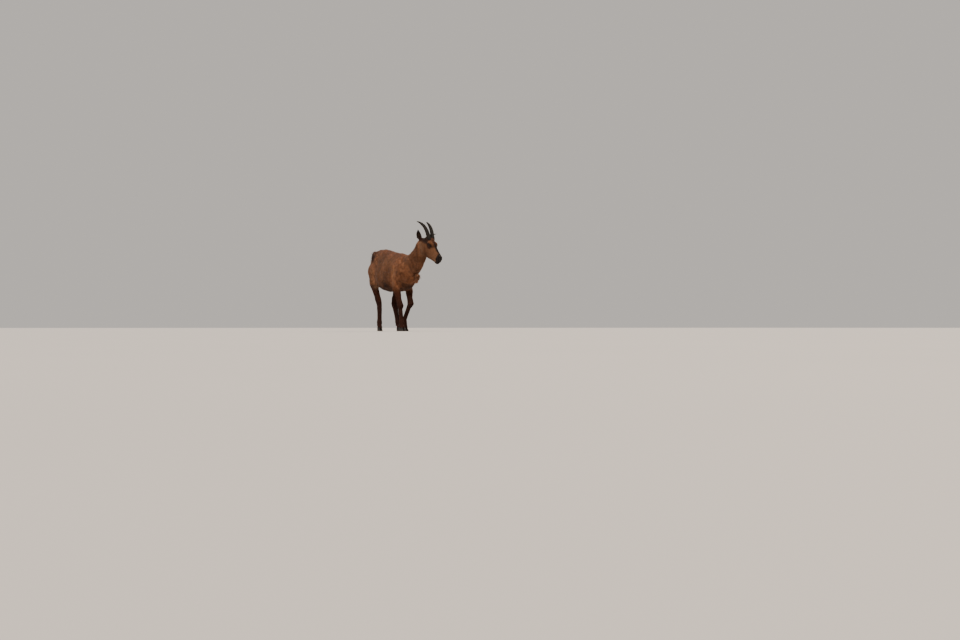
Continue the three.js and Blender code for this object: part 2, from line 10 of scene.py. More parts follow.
import bmesh
import bpy
import numpy as np
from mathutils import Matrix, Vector


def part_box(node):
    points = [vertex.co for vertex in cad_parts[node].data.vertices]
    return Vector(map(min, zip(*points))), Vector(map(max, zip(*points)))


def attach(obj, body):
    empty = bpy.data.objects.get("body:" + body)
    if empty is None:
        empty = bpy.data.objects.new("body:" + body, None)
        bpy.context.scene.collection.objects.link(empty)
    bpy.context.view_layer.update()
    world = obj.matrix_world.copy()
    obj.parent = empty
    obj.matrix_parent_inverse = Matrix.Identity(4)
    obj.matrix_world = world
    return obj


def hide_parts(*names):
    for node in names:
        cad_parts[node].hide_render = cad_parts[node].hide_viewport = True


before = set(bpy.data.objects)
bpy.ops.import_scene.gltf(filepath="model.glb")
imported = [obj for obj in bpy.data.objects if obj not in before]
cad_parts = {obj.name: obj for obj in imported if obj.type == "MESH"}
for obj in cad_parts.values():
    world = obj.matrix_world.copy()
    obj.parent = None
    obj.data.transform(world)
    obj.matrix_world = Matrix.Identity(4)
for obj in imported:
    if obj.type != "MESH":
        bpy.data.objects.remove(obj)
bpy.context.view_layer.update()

BODY = "root"
BAKE_MAP = "OFBake"
TURN = 2.0 * math.pi
LOG = logging.getLogger("ibex")

Array = np.ndarray
Object = bpy.types.Object
Material = bpy.types.Material


class Side(Enum):
    """The animal's own right and left."""

    RIGHT = -1
    LEFT = 1

    @property
    def word(self) -> str:
        """The side's name as the nodes spell it."""
        return self.name.lower()

    def place(self, ahead: float, out: float, up: float) -> Array:
        """A place on this side, given as ahead, outwards and up."""
        return np.array([ahead, out * self.value, up])


class Slot(Enum):
    """Names of the kinds of finish."""

    COAT = "coat"
    DARK = "dark_coat"
    WOOL = "pale_wool"
    HORN = "horn"
    HOOF = "hoof"
    EYE = "eye"


class Tone(Enum):
    """Display colours of the coat, from 0 to 255."""

    FLANK = (113, 75, 51)
    SHOULDER = (134, 88, 61)
    BACK = (102, 62, 42)
    NECK = (114, 76, 53)
    RUMP = (130, 87, 62)
    # darker brown: partly painted shade on the lower belly and in the hollows between muscles
    EDGE = (64, 35, 20)
    GROIN = (152, 118, 92)
    CHEEK = (107, 72, 49)
    BAND = (128, 96, 73)
    BROW = (117, 70, 42)
    DARK = (49, 23, 14)
    LEG = (72, 37, 21)
    MUZZLE = (24, 14, 10)
    RIM = (17, 12, 9)
    # paler brown: streaks on the neck, and painted highlights along muscle edges
    INNER_EAR = (88, 68, 53)
    STREAK = (138, 97, 68)
    WOOL = (130, 90, 66)
    LASH = (30, 20, 16)

    def linear(self) -> Array:
        """The linear colour of the display colour."""
        c = np.array(self.value) / 255.0
        return np.where(c <= 0.04045, c / 12.92, ((c + 0.055) / 1.055) ** 2.4)


def unit(vectors: Array) -> Array:
    """Vectors scaled to length one."""
    return vectors / np.maximum(np.linalg.norm(vectors, axis=-1, keepdims=True), 1e-12)


def ease(values: Array, start: float, end: float) -> Array:
    """A smooth step from 0 at start to 1 at end; end may lie below start."""
    t = np.clip((values - start) / (end - start), 0.0, 1.0)
    return t * t * (3.0 - 2.0 * t)


def soft(gap: Array, reach: float) -> Array:
    """A bell that is 1 where the gap is nothing and falls off over the reach."""
    return np.exp(-((gap / reach) ** 2))


def bell(*rows: tuple[Array, float, float]) -> Array:
    """A bell over several measures, each a row of values, middle and reach."""
    return np.exp(-sum(((values - middle) / reach) ** 2 for values, middle, reach in rows))


def gap_to(points: Array, start: tuple | Array, end: tuple | Array) -> Array:
    """Distance of points from a straight line between two ends.

    Args:
        points: Places, one a row.
        start: The line's one end.
        end: Its other end.

    Returns:
        One distance for each point.
    """
    a, b = np.array(start), np.array(end)
    t = np.clip((points - a) @ (b - a) / ((b - a) @ (b - a)), 0.0, 1.0)
    return np.linalg.norm(points - a - t[:, None] * (b - a), axis=1)


def ripple(points: Array, size: float, seed: int, waves: int = 9) -> Array:
    """Soft seeded waviness through space.

    Args:
        points: Places, one a row.
        size: Typical length of a wave in metres.
        seed: Seed of the wave directions.
        waves: Number of waves that are added.

    Returns:
        One value from about -1 to 1 for each place.
    """
    rng = np.random.default_rng(seed)
    ways = unit(rng.normal(size=(waves, 3))) * rng.uniform(0.6, 1.7, (waves, 1)) * TURN / size
    return np.sin(points @ ways.T + rng.uniform(0.0, TURN, waves)).sum(1) / math.sqrt(waves)


def spline(row: tuple | Array, count: int) -> Array:
    """A smooth line through places or numbers.

    Args:
        row: What it passes.
        count: Number of steps on the line.

    Returns:
        Places or numbers, evenly spread along the row.
    """
    points = np.asarray(row, float)
    padded = np.concatenate([[2 * points[0] - points[1]], points, [2 * points[-1] - points[-2]]])
    at = np.linspace(0.0, len(points) - 1.0, count)
    i = np.minimum(at.astype(int), len(points) - 2)
    f = (at - i).reshape(-1, *[1] * (points.ndim - 1))
    a, b, c, d = (padded[i + k] for k in range(4))
    return b + 0.5 * f * (c - a + f * (2 * a - 5 * b + 4 * c - d + f * (3 * (b - c) + d - a)))


def fill(items: object, name: str, values: Array, kind: type = np.float32) -> None:
    """Sets one property of many items from an array."""
    items.foreach_set(name, values.astype(kind).ravel())


def linked(name: str, data: bpy.types.ID) -> Object:
    """A new object in the scene.

    Args:
        name: Its name.
        data: Its mesh, curve, lamp or camera.

    Returns:
        The object.
    """
    made = bpy.data.objects.new(name, data)
    bpy.context.scene.collection.objects.link(made)
    return made


@dataclass
class Shell:
    """A closed triangle surface."""

    points: Array
    faces: Array

    def flats(self) -> Array:
        """Outward direction of every face, as long as twice its area."""
        corner = self.points[self.faces]
        return np.cross(corner[:, 1] - corner[:, 0], corner[:, 2] - corner[:, 0])

    def gathered(self, numbers: Array, values: Array) -> Array:
        """Sums of rows of values by point number."""
        columns = [np.bincount(numbers, column, minlength=len(self.points)) for column in values.T]
        return np.stack(columns, axis=1)

    def normals(self) -> Array:
        """Smooth outward direction at every point."""
        return unit(self.gathered(self.faces.ravel(), np.repeat(self.flats(), 3, axis=0)))

    def edges(self) -> Array:
        """Every edge once, as pairs of point numbers."""
        pairs = np.sort(self.faces[:, [[0, 1], [1, 2], [2, 0]]].reshape(-1, 2), axis=1)
        return np.unique(pairs, axis=0)

    def even(self, values: Array, rounds: int, amount: Array | float = 1.0, pull: tuple = (0.5,)) -> Array:
        """Values evened out along the surface.

        Args:
            values: One row for each point.
            rounds: How often all pulls are applied.
            amount: Share of each pull, for every point or in all.
            pull: Factors towards the mean of the neighbours, applied in turn.

        Returns:
            The evened values.
        """
        edges = self.edges()
        both = np.concatenate([edges, edges[:, ::-1]])
        count = np.maximum(np.bincount(both[:, 0], minlength=len(self.points)), 1)[:, None]
        share = np.asarray(amount, float).reshape(-1, 1)
        result = values.reshape(len(self.points), -1).astype(float)
        for factor in pull * rounds:
            mean = self.gathered(both[:, 0], result[both[:, 1]]) / count
            result += factor * share * (mean - result)
        return result.reshape(values.shape)

    @staticmethod
    def joined(shells: list["Shell"]) -> "Shell":
        """Several shells as one list of points and faces.

        Args:
            shells: The closed shells.

        Returns:
            One shell of them all.
        """
        starts = np.cumsum([0, *(len(s.points) for s in shells[:-1])])
        faces = np.vstack([s.faces + start for s, start in zip(shells, starts)])
        return Shell(np.vstack([s.points for s in shells]), faces)

    @staticmethod
    def of_mesh(mesh: bpy.types.Mesh) -> "Shell":
        """A scratch mesh as triangles.

        Args:
            mesh: The mesh, which is removed.

        Returns:
            Its shell.
        """
        mesh.calc_loop_triangles()
        points = np.empty(len(mesh.vertices) * 3)
        mesh.vertices.foreach_get("co", points)
        faces = np.empty(len(mesh.loop_triangles) * 3, int)
        mesh.loop_triangles.foreach_get("vertices", faces)
        bpy.data.meshes.remove(mesh)
        return Shell(points.reshape(-1, 3), faces.reshape(-1, 3))

    @staticmethod
    def of_build(build: bmesh.types.BMesh) -> "Shell":
        """A finished edit mesh as triangles.

        Args:
            build: The edit mesh, which is freed.

        Returns:
            Its shell.
        """
        mesh = bpy.data.meshes.new("scratch")
        build.to_mesh(mesh)
        build.free()
        return Shell.of_mesh(mesh)

    @staticmethod
    def of_node(name: str, grow: float = 0.0) -> "Shell":
        """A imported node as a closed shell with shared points.

        Args:
            name: The node's name.
            grow: Distance that its surface is pushed outwards.

        Returns:
            The node's shell.
        """
        build = bmesh.new()
        build.from_mesh(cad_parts[name].data)
        bmesh.ops.remove_doubles(build, verts=build.verts, dist=2e-6)
        shell = Shell.of_build(build)
        shell.points += shell.normals() * grow
        return shell

    @staticmethod
    def blob(centre: Array, size: float | tuple, axes: Array | None = None) -> "Shell":
        """An ellipsoid.

        Args:
            centre: Its middle.
            size: Its radius, or three half sizes.
            axes: Three rows that its sizes lie along, or none for the frame's own.

        Returns:
            A closed shell.
        """
        build = bmesh.new()
        bmesh.ops.create_icosphere(build, subdivisions=3, radius=1.0)
        shell = Shell.of_build(build)
        shell.points = (shell.points * size) @ (np.eye(3) if axes is None else axes) + centre
        return shell

    @staticmethod
    def tube(line: Array, radii: Array, around: int = 20) -> "Shell":
        """A closed round tube along a line.

        Args:
            line: Places along its middle.
            radii: Its radius at each place.
            around: Points in each ring.

        Returns:
            A closed shell with a point at each end.
        """
        ahead = unit(np.gradient(line, axis=0))
        side = unit(np.cross(ahead, np.array([0.13, 1.0, 0.21])))
        other = np.cross(ahead, side)
        turn = np.linspace(0.0, TURN, around, endpoint=False)[None, :, None]
        round_it = np.cos(turn) * side[:, None] + np.sin(turn) * other[:, None]
        return Shell.of_rings(line[:, None] + radii[:, None, None] * round_it)

    @staticmethod
    def of_rings(rings: Array) -> "Shell":
        """A closed shell through rings, with a middle point on both end rings.

        Args:
            rings: Points of each ring, alike in number.

        Returns:
            The shell with faces that point outwards.
        """
        count, around = rings.shape[:2]
        points = np.vstack([rings.reshape(-1, 3), rings[0].mean(0), rings[-1].mean(0)])
        k = np.arange(around)
        after = (k + 1) % around
        faces = []
        for low in range(0, (count - 1) * around, around):
            high = low + around
            faces += [np.stack([low + k, low + after, high + after], 1)]
            faces += [np.stack([low + k, high + after, high + k], 1)]
        last = (count - 1) * around
        faces += [np.stack([np.full(around, count * around), after, k], 1)]
        faces += [np.stack([np.full(around, count * around + 1), last + k, last + after], 1)]
        shell = Shell(points, np.vstack(faces))
        corner = points[shell.faces]
        if np.einsum("ij,ij->i", corner[:, 0], np.cross(corner[:, 1], corner[:, 2])).sum() < 0.0:
            shell.faces = shell.faces[:, ::-1]
        return shell

    def remeshed(self, voxel: float) -> "Shell":
        """The outer surface rebuilt on an even grid.

        Args:
            voxel: Size of the grid's cells.

        Returns:
            One even shell.
        """
        made = piece_of("scratch", self)
        modifier = made.modifiers.new("even", "REMESH")
        modifier.mode = "VOXEL"
        modifier.voxel_size = voxel
        shell = evaluated(made)
        bpy.data.objects.remove(made)
        return shell

    def largest(self) -> "Shell":
        """The connected part that has the most points.

        Returns:
            That part as a shell of its own.
        """
        edges = self.edges()
        label, after = None, np.arange(len(self.points))
        while label is None or not np.array_equal(after, label):
            label = after
            low = np.minimum(label[edges[:, 0]], label[edges[:, 1]])
            after = label.copy()
            np.minimum.at(after, edges[:, 0], low)
            np.minimum.at(after, edges[:, 1], low)
            after = after[after]
        keep = label == np.bincount(label).argmax()
        number = np.cumsum(keep) - 1
        return Shell(self.points[keep], number[self.faces[keep[self.faces].all(1)]])


def evaluated(piece: Object) -> Shell:
    """An object's shape with its modifiers, as a shell."""
    graph = bpy.context.evaluated_depsgraph_get()
    return Shell.of_mesh(bpy.data.meshes.new_from_object(piece.evaluated_get(graph)))


def piece_of(name: str, shell: Shell, material: Material | None = None) -> Object:
    """A linked mesh object of a shell.

    Args:
        name: Name of the piece.
        shell: Its surface.
        material: What it is dressed in.

    Returns:
        The object, smooth shaded.
    """
    mesh = bpy.data.meshes.new(name)
    mesh.vertices.add(len(shell.points))
    fill(mesh.vertices, "co", shell.points)
    mesh.loops.add(shell.faces.size)
    fill(mesh.loops, "vertex_index", shell.faces, np.int32)
    mesh.polygons.add(len(shell.faces))
    fill(mesh.polygons, "loop_start", np.arange(0, shell.faces.size, 3), np.int32)
    mesh.update(calc_edges=True)
    mesh.shade_smooth()
    if material is not None:
        mesh.materials.append(material)
    return linked(name, mesh)


def store(piece: Object, name: str, values: Array) -> None:
    """Keeps one colour or number for each point of a piece.

    Args:
        piece: The piece.
        name: Name of the attribute.
        values: One number or linear colour for each point.
    """
    if values.ndim == 1:
        fill(piece.data.attributes.new(name, "FLOAT", "POINT").data, "value", values)
        return
    rgba = np.hstack([values, np.ones((len(values), 1))])
    fill(piece.data.attributes.new(name, "FLOAT_COLOR", "POINT").data, "color", rgba)


def ready(piece: Object, slot: Slot, *nodes: str) -> None:
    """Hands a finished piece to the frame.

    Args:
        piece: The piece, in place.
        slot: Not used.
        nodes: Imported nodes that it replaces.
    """
    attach(piece, BODY)
    if nodes:
        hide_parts(*nodes)
    LOG.info("%s: %d faces", piece.name, len(piece.data.polygons))


class Num:
    """A number or vector socket that takes part in Python expressions."""

    def __init__(self, tree: "Tree", socket: bpy.types.NodeSocket) -> None:
        """Keeps the tree and the socket."""
        self.tree = tree
        self.socket = socket

    def _maths(self, operation: str, *values: "Num | float") -> "Num":
        """A Math node on values."""
        return self.tree.add("ShaderNodeMath", dict(enumerate(values)), operation=operation)

    def __add__(self, other: "Num | float") -> "Num":
        """Sum."""
        return self._maths("ADD", self, other)

    def __mul__(self, other: "Num | float") -> "Num":
        """Product."""
        return self._maths("MULTIPLY", self, other)

    __radd__ = __add__
    __rmul__ = __mul__

    def __sub__(self, other: "Num | float") -> "Num":
        """Difference."""
        return self._maths("SUBTRACT", self, other)

    def __rsub__(self, other: "Num | float") -> "Num":
        """Reflected difference."""
        return self._maths("SUBTRACT", other, self)

    def __truediv__(self, other: "Num | float") -> "Num":
        """Quotient."""
        return self._maths("DIVIDE", self, other)

    def __pow__(self, other: "Num | float") -> "Num":
        """Power."""
        return self._maths("POWER", self, other)

    def sine(self) -> "Num":
        """Sine of the value."""
        return self._maths("SINE", self)

    def size(self) -> "Num":
        """The value without its sign."""
        return self._maths("ABSOLUTE", self)

    def step(self, start: float, end: float) -> "Num":
        """A smooth step from 0 at start to 1 at end."""
        inputs = {"Value": self, "From Min": start, "From Max": end}
        return self.tree.add("ShaderNodeMapRange", inputs, interpolation_type="SMOOTHSTEP")


class Tree:
    """Adds nodes to one shader or geometry tree."""

    def __init__(self, tree: bpy.types.NodeTree) -> None:
        """Keeps the node tree."""
        self.tree = tree

    def node(self, kind: str, inputs: dict | None = None, **settings: object) -> bpy.types.Node:
        """Adds one node.

        Args:
            kind: The node's type.
            inputs: Values or links for its sockets, by name or number.
            settings: Other settings, which are made first.

        Returns:
            The new node.
        """
        made = self.tree.nodes.new(kind)
        for name, value in settings.items():
            setattr(made, name, value)
        for key, value in (inputs or {}).items():
            if isinstance(value, Num):
                self.tree.links.new(value.socket, made.inputs[key])
            else:
                made.inputs[key].default_value = value
        return made

    def add(self, kind: str, inputs: dict | None = None, out: int | str = 0, **settings: object) -> Num:
        """Adds one node and gives one of its outputs."""
        return Num(self, self.node(kind, inputs, **settings).outputs[out])

    def vector(self, operation: str, *values: Num | tuple, out: str = "Vector", **named: Num) -> Num:
        """A Vector Math node on values."""
        return self.add("ShaderNodeVectorMath", dict(enumerate(values)) | named, out, operation=operation)

    def mix(self, factor: Num | float, low: Num | tuple, high: Num | tuple, **settings: str) -> Num:
        """A mix of two colours."""
        low, high = ((*c, 1.0) if isinstance(c, tuple) else c for c in (low, high))
        return self.add("ShaderNodeMix", {0: factor, 6: low, 7: high}, 2, data_type="RGBA", **settings)

    def tint(self, colour: Num, shade: Num) -> Num:
        """A colour made lighter or darker by a number."""
        grey = self.add("ShaderNodeCombineColor", {0: shade, 1: shade, 2: shade})
        return self.mix(1.0, colour, grey, blend_type="MULTIPLY")

    def stored(self, name: str, out: str) -> Num:
        """A value that the piece keeps under a name."""
        return self.add("ShaderNodeAttribute", out=out, attribute_name=name)

    def noise(self, scale: float, stretch: tuple = (1.0, 1.0, 1.0), detail: float = 3.0) -> Num:
        """Noise through the object's own space.

        Args:
            scale: How fine it is.
            stretch: Factors of the three axes, small where it is drawn out.
            detail: Number of finer layers.

        Returns:
            The noise from 0 to 1.
        """
        place = self.add("ShaderNodeTexCoord", out="Object")
        place = self.add("ShaderNodeMapping", {"Vector": place, "Scale": stretch})
        return self.add("ShaderNodeTexNoise", {"Vector": place, "Scale": scale, "Detail": detail})

    def bump(self, strength: float, distance: float, height: Num) -> Num:
        """A normal tilted by a height."""
        return self.add("ShaderNodeBump", {"Strength": strength, "Distance": distance, "Height": height})


@dataclass(frozen=True)
class Finish:
    """A surface: its name, roughness, and what its maker adds."""

    name: str
    roughness: float
    specular: float = 0.5
    sheen: float = 0.0
    coat: float = 0.0

    def material(self) -> Material:
        """The finished material.

        Returns:
            A new material with this finish's nodes.
        """
        made = bpy.data.materials.new(self.name)
        made.use_nodes = True
        shader = made.node_tree.nodes["Principled BSDF"]
        names = ("Roughness", "Specular IOR Level", "Sheen Weight", "Coat Weight")
        for key, value in zip(names, (self.roughness, self.specular, self.sheen, self.coat)):
            shader.inputs[key].default_value = value
        for key, value in self.surface(Tree(made.node_tree)).items():
            made.node_tree.links.new(value.socket, shader.inputs[key])
        return made

    def surface(self, tree: Tree) -> dict[str, Num]:
        """The sockets that vary over the surface."""
        raise NotImplementedError


@dataclass(frozen=True)
class HairFinish(Finish):
    """Matt hair in the colour that every tuft carries."""

    def surface(self, tree: Tree) -> dict[str, Num]:
        """Colour of each tuft with fine unevenness.

        Args:
            tree: The material's tree.

        Returns:
            The varying sockets.
        """
        grain = tree.noise(420.0, detail=2.0)
        shade = 0.62 + grain * 0.42 + tree.noise(38.0) * 0.34
        return {
            "Base Color": tree.tint(tree.stored("coat_colour", "Color"), shade),
            "Roughness": 0.9 - grain * 0.3,
        }


@dataclass(frozen=True)
class SkinFinish(Finish):
    """Short hair that lies flat on the skin, and bare skin on nose and lids."""

    def surface(self, tree: Tree) -> dict[str, Num]:
        """Markings, hair grain and the wet look of bare skin.

        Args:
            tree: The material's tree.

        Returns:
            The varying sockets.
        """
        bare = tree.stored("bare", "Fac")
        strands = tree.noise(900.0, stretch=(1.0, 1.0, 0.16))
        pores = tree.add("ShaderNodeTexVoronoi", {"Scale": 520.0}, feature="F1")
        hair = strands * 0.6 + tree.noise(700.0, detail=2.0) * 0.4
        height = hair * (1.0 - bare) + pores * bare * 0.5
        return {
            "Base Color": tree.tint(tree.stored("coat_colour", "Color"), 0.6 + hair * 0.7),
            "Roughness": 0.85 - bare * 0.36,
            "Normal": tree.bump(0.75, 0.0012, height),
        }


@dataclass(frozen=True)
class HornFinish(Finish):
    """Dark horn with rings, lengthwise fibre and paler worn patches."""

    dark: tuple = (0.005, 0.004, 0.003)
    worn: tuple = (0.022, 0.016, 0.012)
    rings: float = 26.0

    def surface(self, tree: Tree) -> dict[str, Num]:
        """Ringed colour, gloss and bump.

        Args:
            tree: The material's tree.

        Returns:
            The varying sockets.
        """
        fibre = tree.noise(160.0, detail=5.0)
        ring = (tree.stored("along", "Fac") * (self.rings * TURN) + fibre * 2.2).sine() * 0.5 + 0.5
        wear = (ring * 0.5 + tree.noise(26.0) * 0.9 - 0.35).step(0.0, 1.0)
        return {
            "Base Color": tree.mix(wear, self.dark, self.worn),
            "Roughness": 0.55 + wear * 0.25,
            "Normal": tree.bump(0.7, 0.0012, ring * 0.5 + fibre),
        }


@dataclass(frozen=True)
class ClawFinish(Finish):
    """Grey-black claw horn with growth lines, scuffed near the floor."""

    dark: tuple = (0.012, 0.010, 0.009)
    scuffed: tuple = (0.048, 0.038, 0.031)
    lines: float = 2400.0
    scuff_top: float = 0.016

    def surface(self, tree: Tree) -> dict[str, Num]:
        """Growth lines and scuffs.

        Args:
            tree: The material's tree.

        Returns:
            The varying sockets.
        """
        place = tree.add("ShaderNodeTexCoord", out="Object")
        height = tree.add("ShaderNodeSeparateXYZ", {0: place}, out="Z")
        grain = tree.noise(240.0, stretch=(1.0, 1.0, 0.3), detail=4.0)
        growth = (height * self.lines + grain * 3.0).sine() * 0.5 + 0.5
        scuff = (grain * 0.7 + (self.scuff_top - height) * 22.0).step(0.2, 0.9)
        return {
            "Base Color": tree.mix(scuff, self.dark, self.scuffed),
            "Roughness": 0.58 + scuff * 0.25,
            "Normal": tree.bump(0.6, 0.0008, growth * 0.4 + grain),
        }


@dataclass(frozen=True)
class EyeFinish(Finish):
    """A wet brown eye with a level slit pupil."""

    centre: tuple = (0.0, 0.0, 0.0)
    outward: tuple = (0.0, 1.0, 0.0)
    level: tuple = (1.0, 0.0, 0.0)
    iris: float = 0.0105
    pupil: tuple = (0.0062, 0.0026)
    deep: tuple = (0.010, 0.005, 0.002)
    bright: tuple = (0.034, 0.015, 0.005)
    rim: tuple = (0.004, 0.003, 0.002)
    black: tuple = (0.002, 0.002, 0.002)

    def surface(self, tree: Tree) -> dict[str, Num]:
        """Pupil, iris and dark rim laid out on the ball's own axes.

        Args:
            tree: The material's tree.

        Returns:
            The varying sockets.
        """
        place = tree.add("ShaderNodeTexCoord", out="Object")
        arm = tree.vector("SUBTRACT", place, self.centre)
        across = tree.vector("DOT_PRODUCT", arm, self.level, out="Value")
        high = tree.vector("DOT_PRODUCT", arm, tuple(np.cross(self.outward, self.level)), out="Value")
        radius = (across * across + high * high) ** 0.5
        slit = ((across / self.pupil[0]) ** 4.0).size() + ((high / self.pupil[1]) ** 2.0).size()
        rays = tree.noise(900.0, detail=4.0)
        iris = tree.mix(rays, self.deep, self.bright)
        iris = tree.mix(radius.step(self.iris * 0.6, self.iris), iris, self.rim)
        colour = tree.mix(slit.step(1.25, 0.75), iris, self.black)
        return {"Base Color": colour, "Roughness": 0.10 + rays * 0.05}


@dataclass(frozen=True)
class FloorFinish(Finish):
    """Plain pale studio floor."""

    pale: tuple = (0.62, 0.59, 0.56)
    dimmed: float = 0.96

    def surface(self, tree: Tree) -> dict[str, Num]:
        """An even tone with a trace of mottling."""
        mottled = tuple(self.dimmed * c for c in self.pale)
        return {"Base Color": tree.mix(tree.noise(1.6), self.pale, mottled)}


@dataclass
class Landmarks:
    """Places on the animal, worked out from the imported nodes."""

    yaw: float = math.radians(23.0)
    pitch: float = math.radians(27.0)
    eye: tuple = (0.143, 0.040, 0.073)
    eye_radius: float = 0.0145
    head_at: tuple = (0.348, 0.045, 0.8252)
    nape: tuple = (0.383, 0.060, 0.800)
    withers: tuple = (0.226, 0.008, 0.668)
    neck_way: tuple = (0.75, 0.12, 0.65)
    ear_root: tuple = (0.022, 0.049, 0.081)
    horn_at: tuple = (0.102, 0.029, 0.118)
    midway: float = -0.03
    axes: Array = field(init=False)
    origin: Array = field(init=False)
    shift: Array = field(init=False)

    def __post_init__(self) -> None:
        """Finds the head's origin from the eyes, and the body's from the head."""
        cos, sin = math.cos(self.pitch), math.sin(self.pitch)
        ahead = np.array([math.cos(self.yaw) * cos, math.sin(self.yaw) * cos, -sin])
        left = np.array([-math.sin(self.yaw), math.cos(self.yaw), 0.0])
        self.axes = np.array([ahead, left, np.cross(ahead, left)])
        between = sum(self.middle(f"eye_{side.word}") for side in Side) / 2.0
        self.origin = between - self.eye[0] * self.axes[0] - self.eye[2] * self.axes[2]
        self.shift = self.origin - np.array(self.head_at)

    def middle(self, node: str) -> Array:
        """Centre of a node's box."""
        low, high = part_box(node)
        return np.array((low + high) / 2.0)

    def foot(self, where: str, side: Side) -> tuple[Array, float]:
        """Middle of a foot's two claws, and the height of their tops."""
        outer, inner = (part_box(f"hoof_{where}_{side.word}_{place}") for place in ("outer", "inner"))
        return np.array(sum(inner, outer[0] + outer[1])) / 4.0, max(outer[1].z, inner[1].z)

    def head(self, points: Array) -> Array:
        """Points in the head's own frame: ahead, left, up."""
        return (points - self.origin) @ self.axes.T

    def body(self, points: Array) -> Array:
        """Points in the body's own frame."""
        return points - self.shift

    def from_head(self, point: Array) -> Array:
        """A place given in the head's own frame."""
        return self.origin + np.asarray(point) @ self.axes

    def from_body(self, point: Array) -> Array:
        """A place given in the body's own frame."""
        return np.asarray(point) + self.shift


@dataclass
class Socket:
    """The almond opening between the lids of one eye, in the head's own frame."""

    BEHIND: ClassVar[float] = 9.0

    marks: Landmarks
    side: Side
    half: tuple = (0.0134, 0.0076)
    tilt: float = math.radians(-14.0)
    roundness: float = 1.8

    def measure(self, at: Array) -> tuple[Array, Array, Array]:
        """Where points lie round the eye.

        Args:
            at: Places in the head's own frame.

        Returns:
            Distance from the ball's middle, height over the slit in half openings, and the
            almond measure, which is 1 on the lids' edge and larger outside it.
        """
        outward = unit(self.side.place(0.16, 1.0, 0.06))
        along = np.array([math.cos(self.tilt), 0.0, math.sin(self.tilt)])
        along = unit(along - along @ outward * outward)
        arm = at - self.centre()
        across = (arm @ along) / self.half[0]
        height = (arm @ (np.cross(outward, along) * -self.side.value)) / self.half[1]
        almond = np.sqrt(np.abs(across) ** self.roundness + np.abs(height) ** self.roundness)
        return np.linalg.norm(arm, axis=1), height, np.where(arm @ outward > 0.0, almond, self.BEHIND)

    def centre(self) -> Array:
        """The ball's middle in the head's own frame."""
        return self.side.place(*self.marks.eye)


@dataclass
class Zones:
    """How much each point belongs to each region of the animal, from 0 to 1."""

    head: Array
    neck: Array
    fore_leg: Array
    hind_leg: Array
    tail: Array
    wool: Array
    ear: Array
    trunk: Array = field(init=False)
    legs: Array = field(init=False)

    def __post_init__(self) -> None:
        """The trunk is what is left."""
        self.legs = np.maximum(self.fore_leg, self.hind_leg)
        self.trunk = 1.0 - np.maximum.reduce(
            [self.head, self.neck, self.legs, self.tail, self.wool, self.ear]
        )

    def blend(self, **values: Array | float) -> Array:
        """A value of each named region, blended by the shares."""
        return sum(getattr(self, name) * value for name, value in values.items())


@dataclass
class Ear:
    """One cupped ear."""

    marks: Landmarks
    side: Side
    length: float = 0.104
    sink: float = 0.014
    half: tuple = (0.0128, 0.0185, 0.0220, 0.0215, 0.0178, 0.0112, 0.003)
    cup: tuple = (0.1, 0.55, 0.8, 0.85, 0.8, 0.7, 0.5)
    thick: tuple = (0.009, 0.005, 0.0042, 0.0038, 0.0034, 0.003, 0.0018)
    curl: float = 0.010
    around: int = 36
    along: int = 34

    def pose(self) -> tuple[Array, Array]:
        """How the ear is held.

        Returns:
            The way it points and the way it opens, in the head's own frame.
        """
        if self.side is Side.RIGHT:
            return unit(np.array([-0.26, -0.56, 0.79])), np.array([0.84, -0.32, 0.2])
        return unit(np.array([0.33, 0.56, 0.77])), np.array([0.8, 0.2, -0.5])

    def line(self) -> Array:
        """Root and tip of the ear in the frame."""
        root = self.side.place(*self.marks.ear_root)
        return self.marks.from_head([root, root + self.pose()[0] * self.length])

    def from_root(self, points: Array) -> Array:
        """Distance of points from the ear's root."""
        return np.linalg.norm(points - self.line()[0], axis=1)

    def holds(self, points: Array, reach: float) -> Array:
        """Whether points lie within reach of the ear's middle."""
        return np.linalg.norm(points - self.line().mean(0), axis=1) < reach

    def shell(self) -> Shell:
        """The ear as a bent leaf with a hollow.

        Returns:
            A closed shell in the frame.
        """
        ahead, opening = self.pose()
        mouth = unit(opening - opening @ ahead * ahead)
        across = np.cross(mouth, ahead)
        root = self.side.place(*self.marks.ear_root) - ahead * self.sink
        t = np.linspace(0.0, 1.0, self.along)
        half, cup, thick = (spline(row, self.along) for row in (self.half, self.cup, self.thick))
        angle = np.linspace(0.0, math.pi, self.around // 2 + 1)
        turn = np.concatenate([angle, angle[-2:0:-1]])
        layer = np.where(np.arange(len(turn)) < len(angle), -1.0, 1.0)
        edge = np.sin(turn)
        wide = -np.cos(turn)[None] * half[:, None]
        deep = -edge[None] * (cup * half)[:, None] + layer[None] * edge[None] ** 0.7 * thick[:, None] / 2.0
        middle = root + t[:, None] * ahead * (self.length + self.sink)
        middle -= (self.curl * np.sin(math.pi * t))[:, None] * mouth
        rings = middle[:, None] + wide[..., None] * across + deep[..., None] * mouth
        return Shell.of_rings(self.marks.from_head(rings))


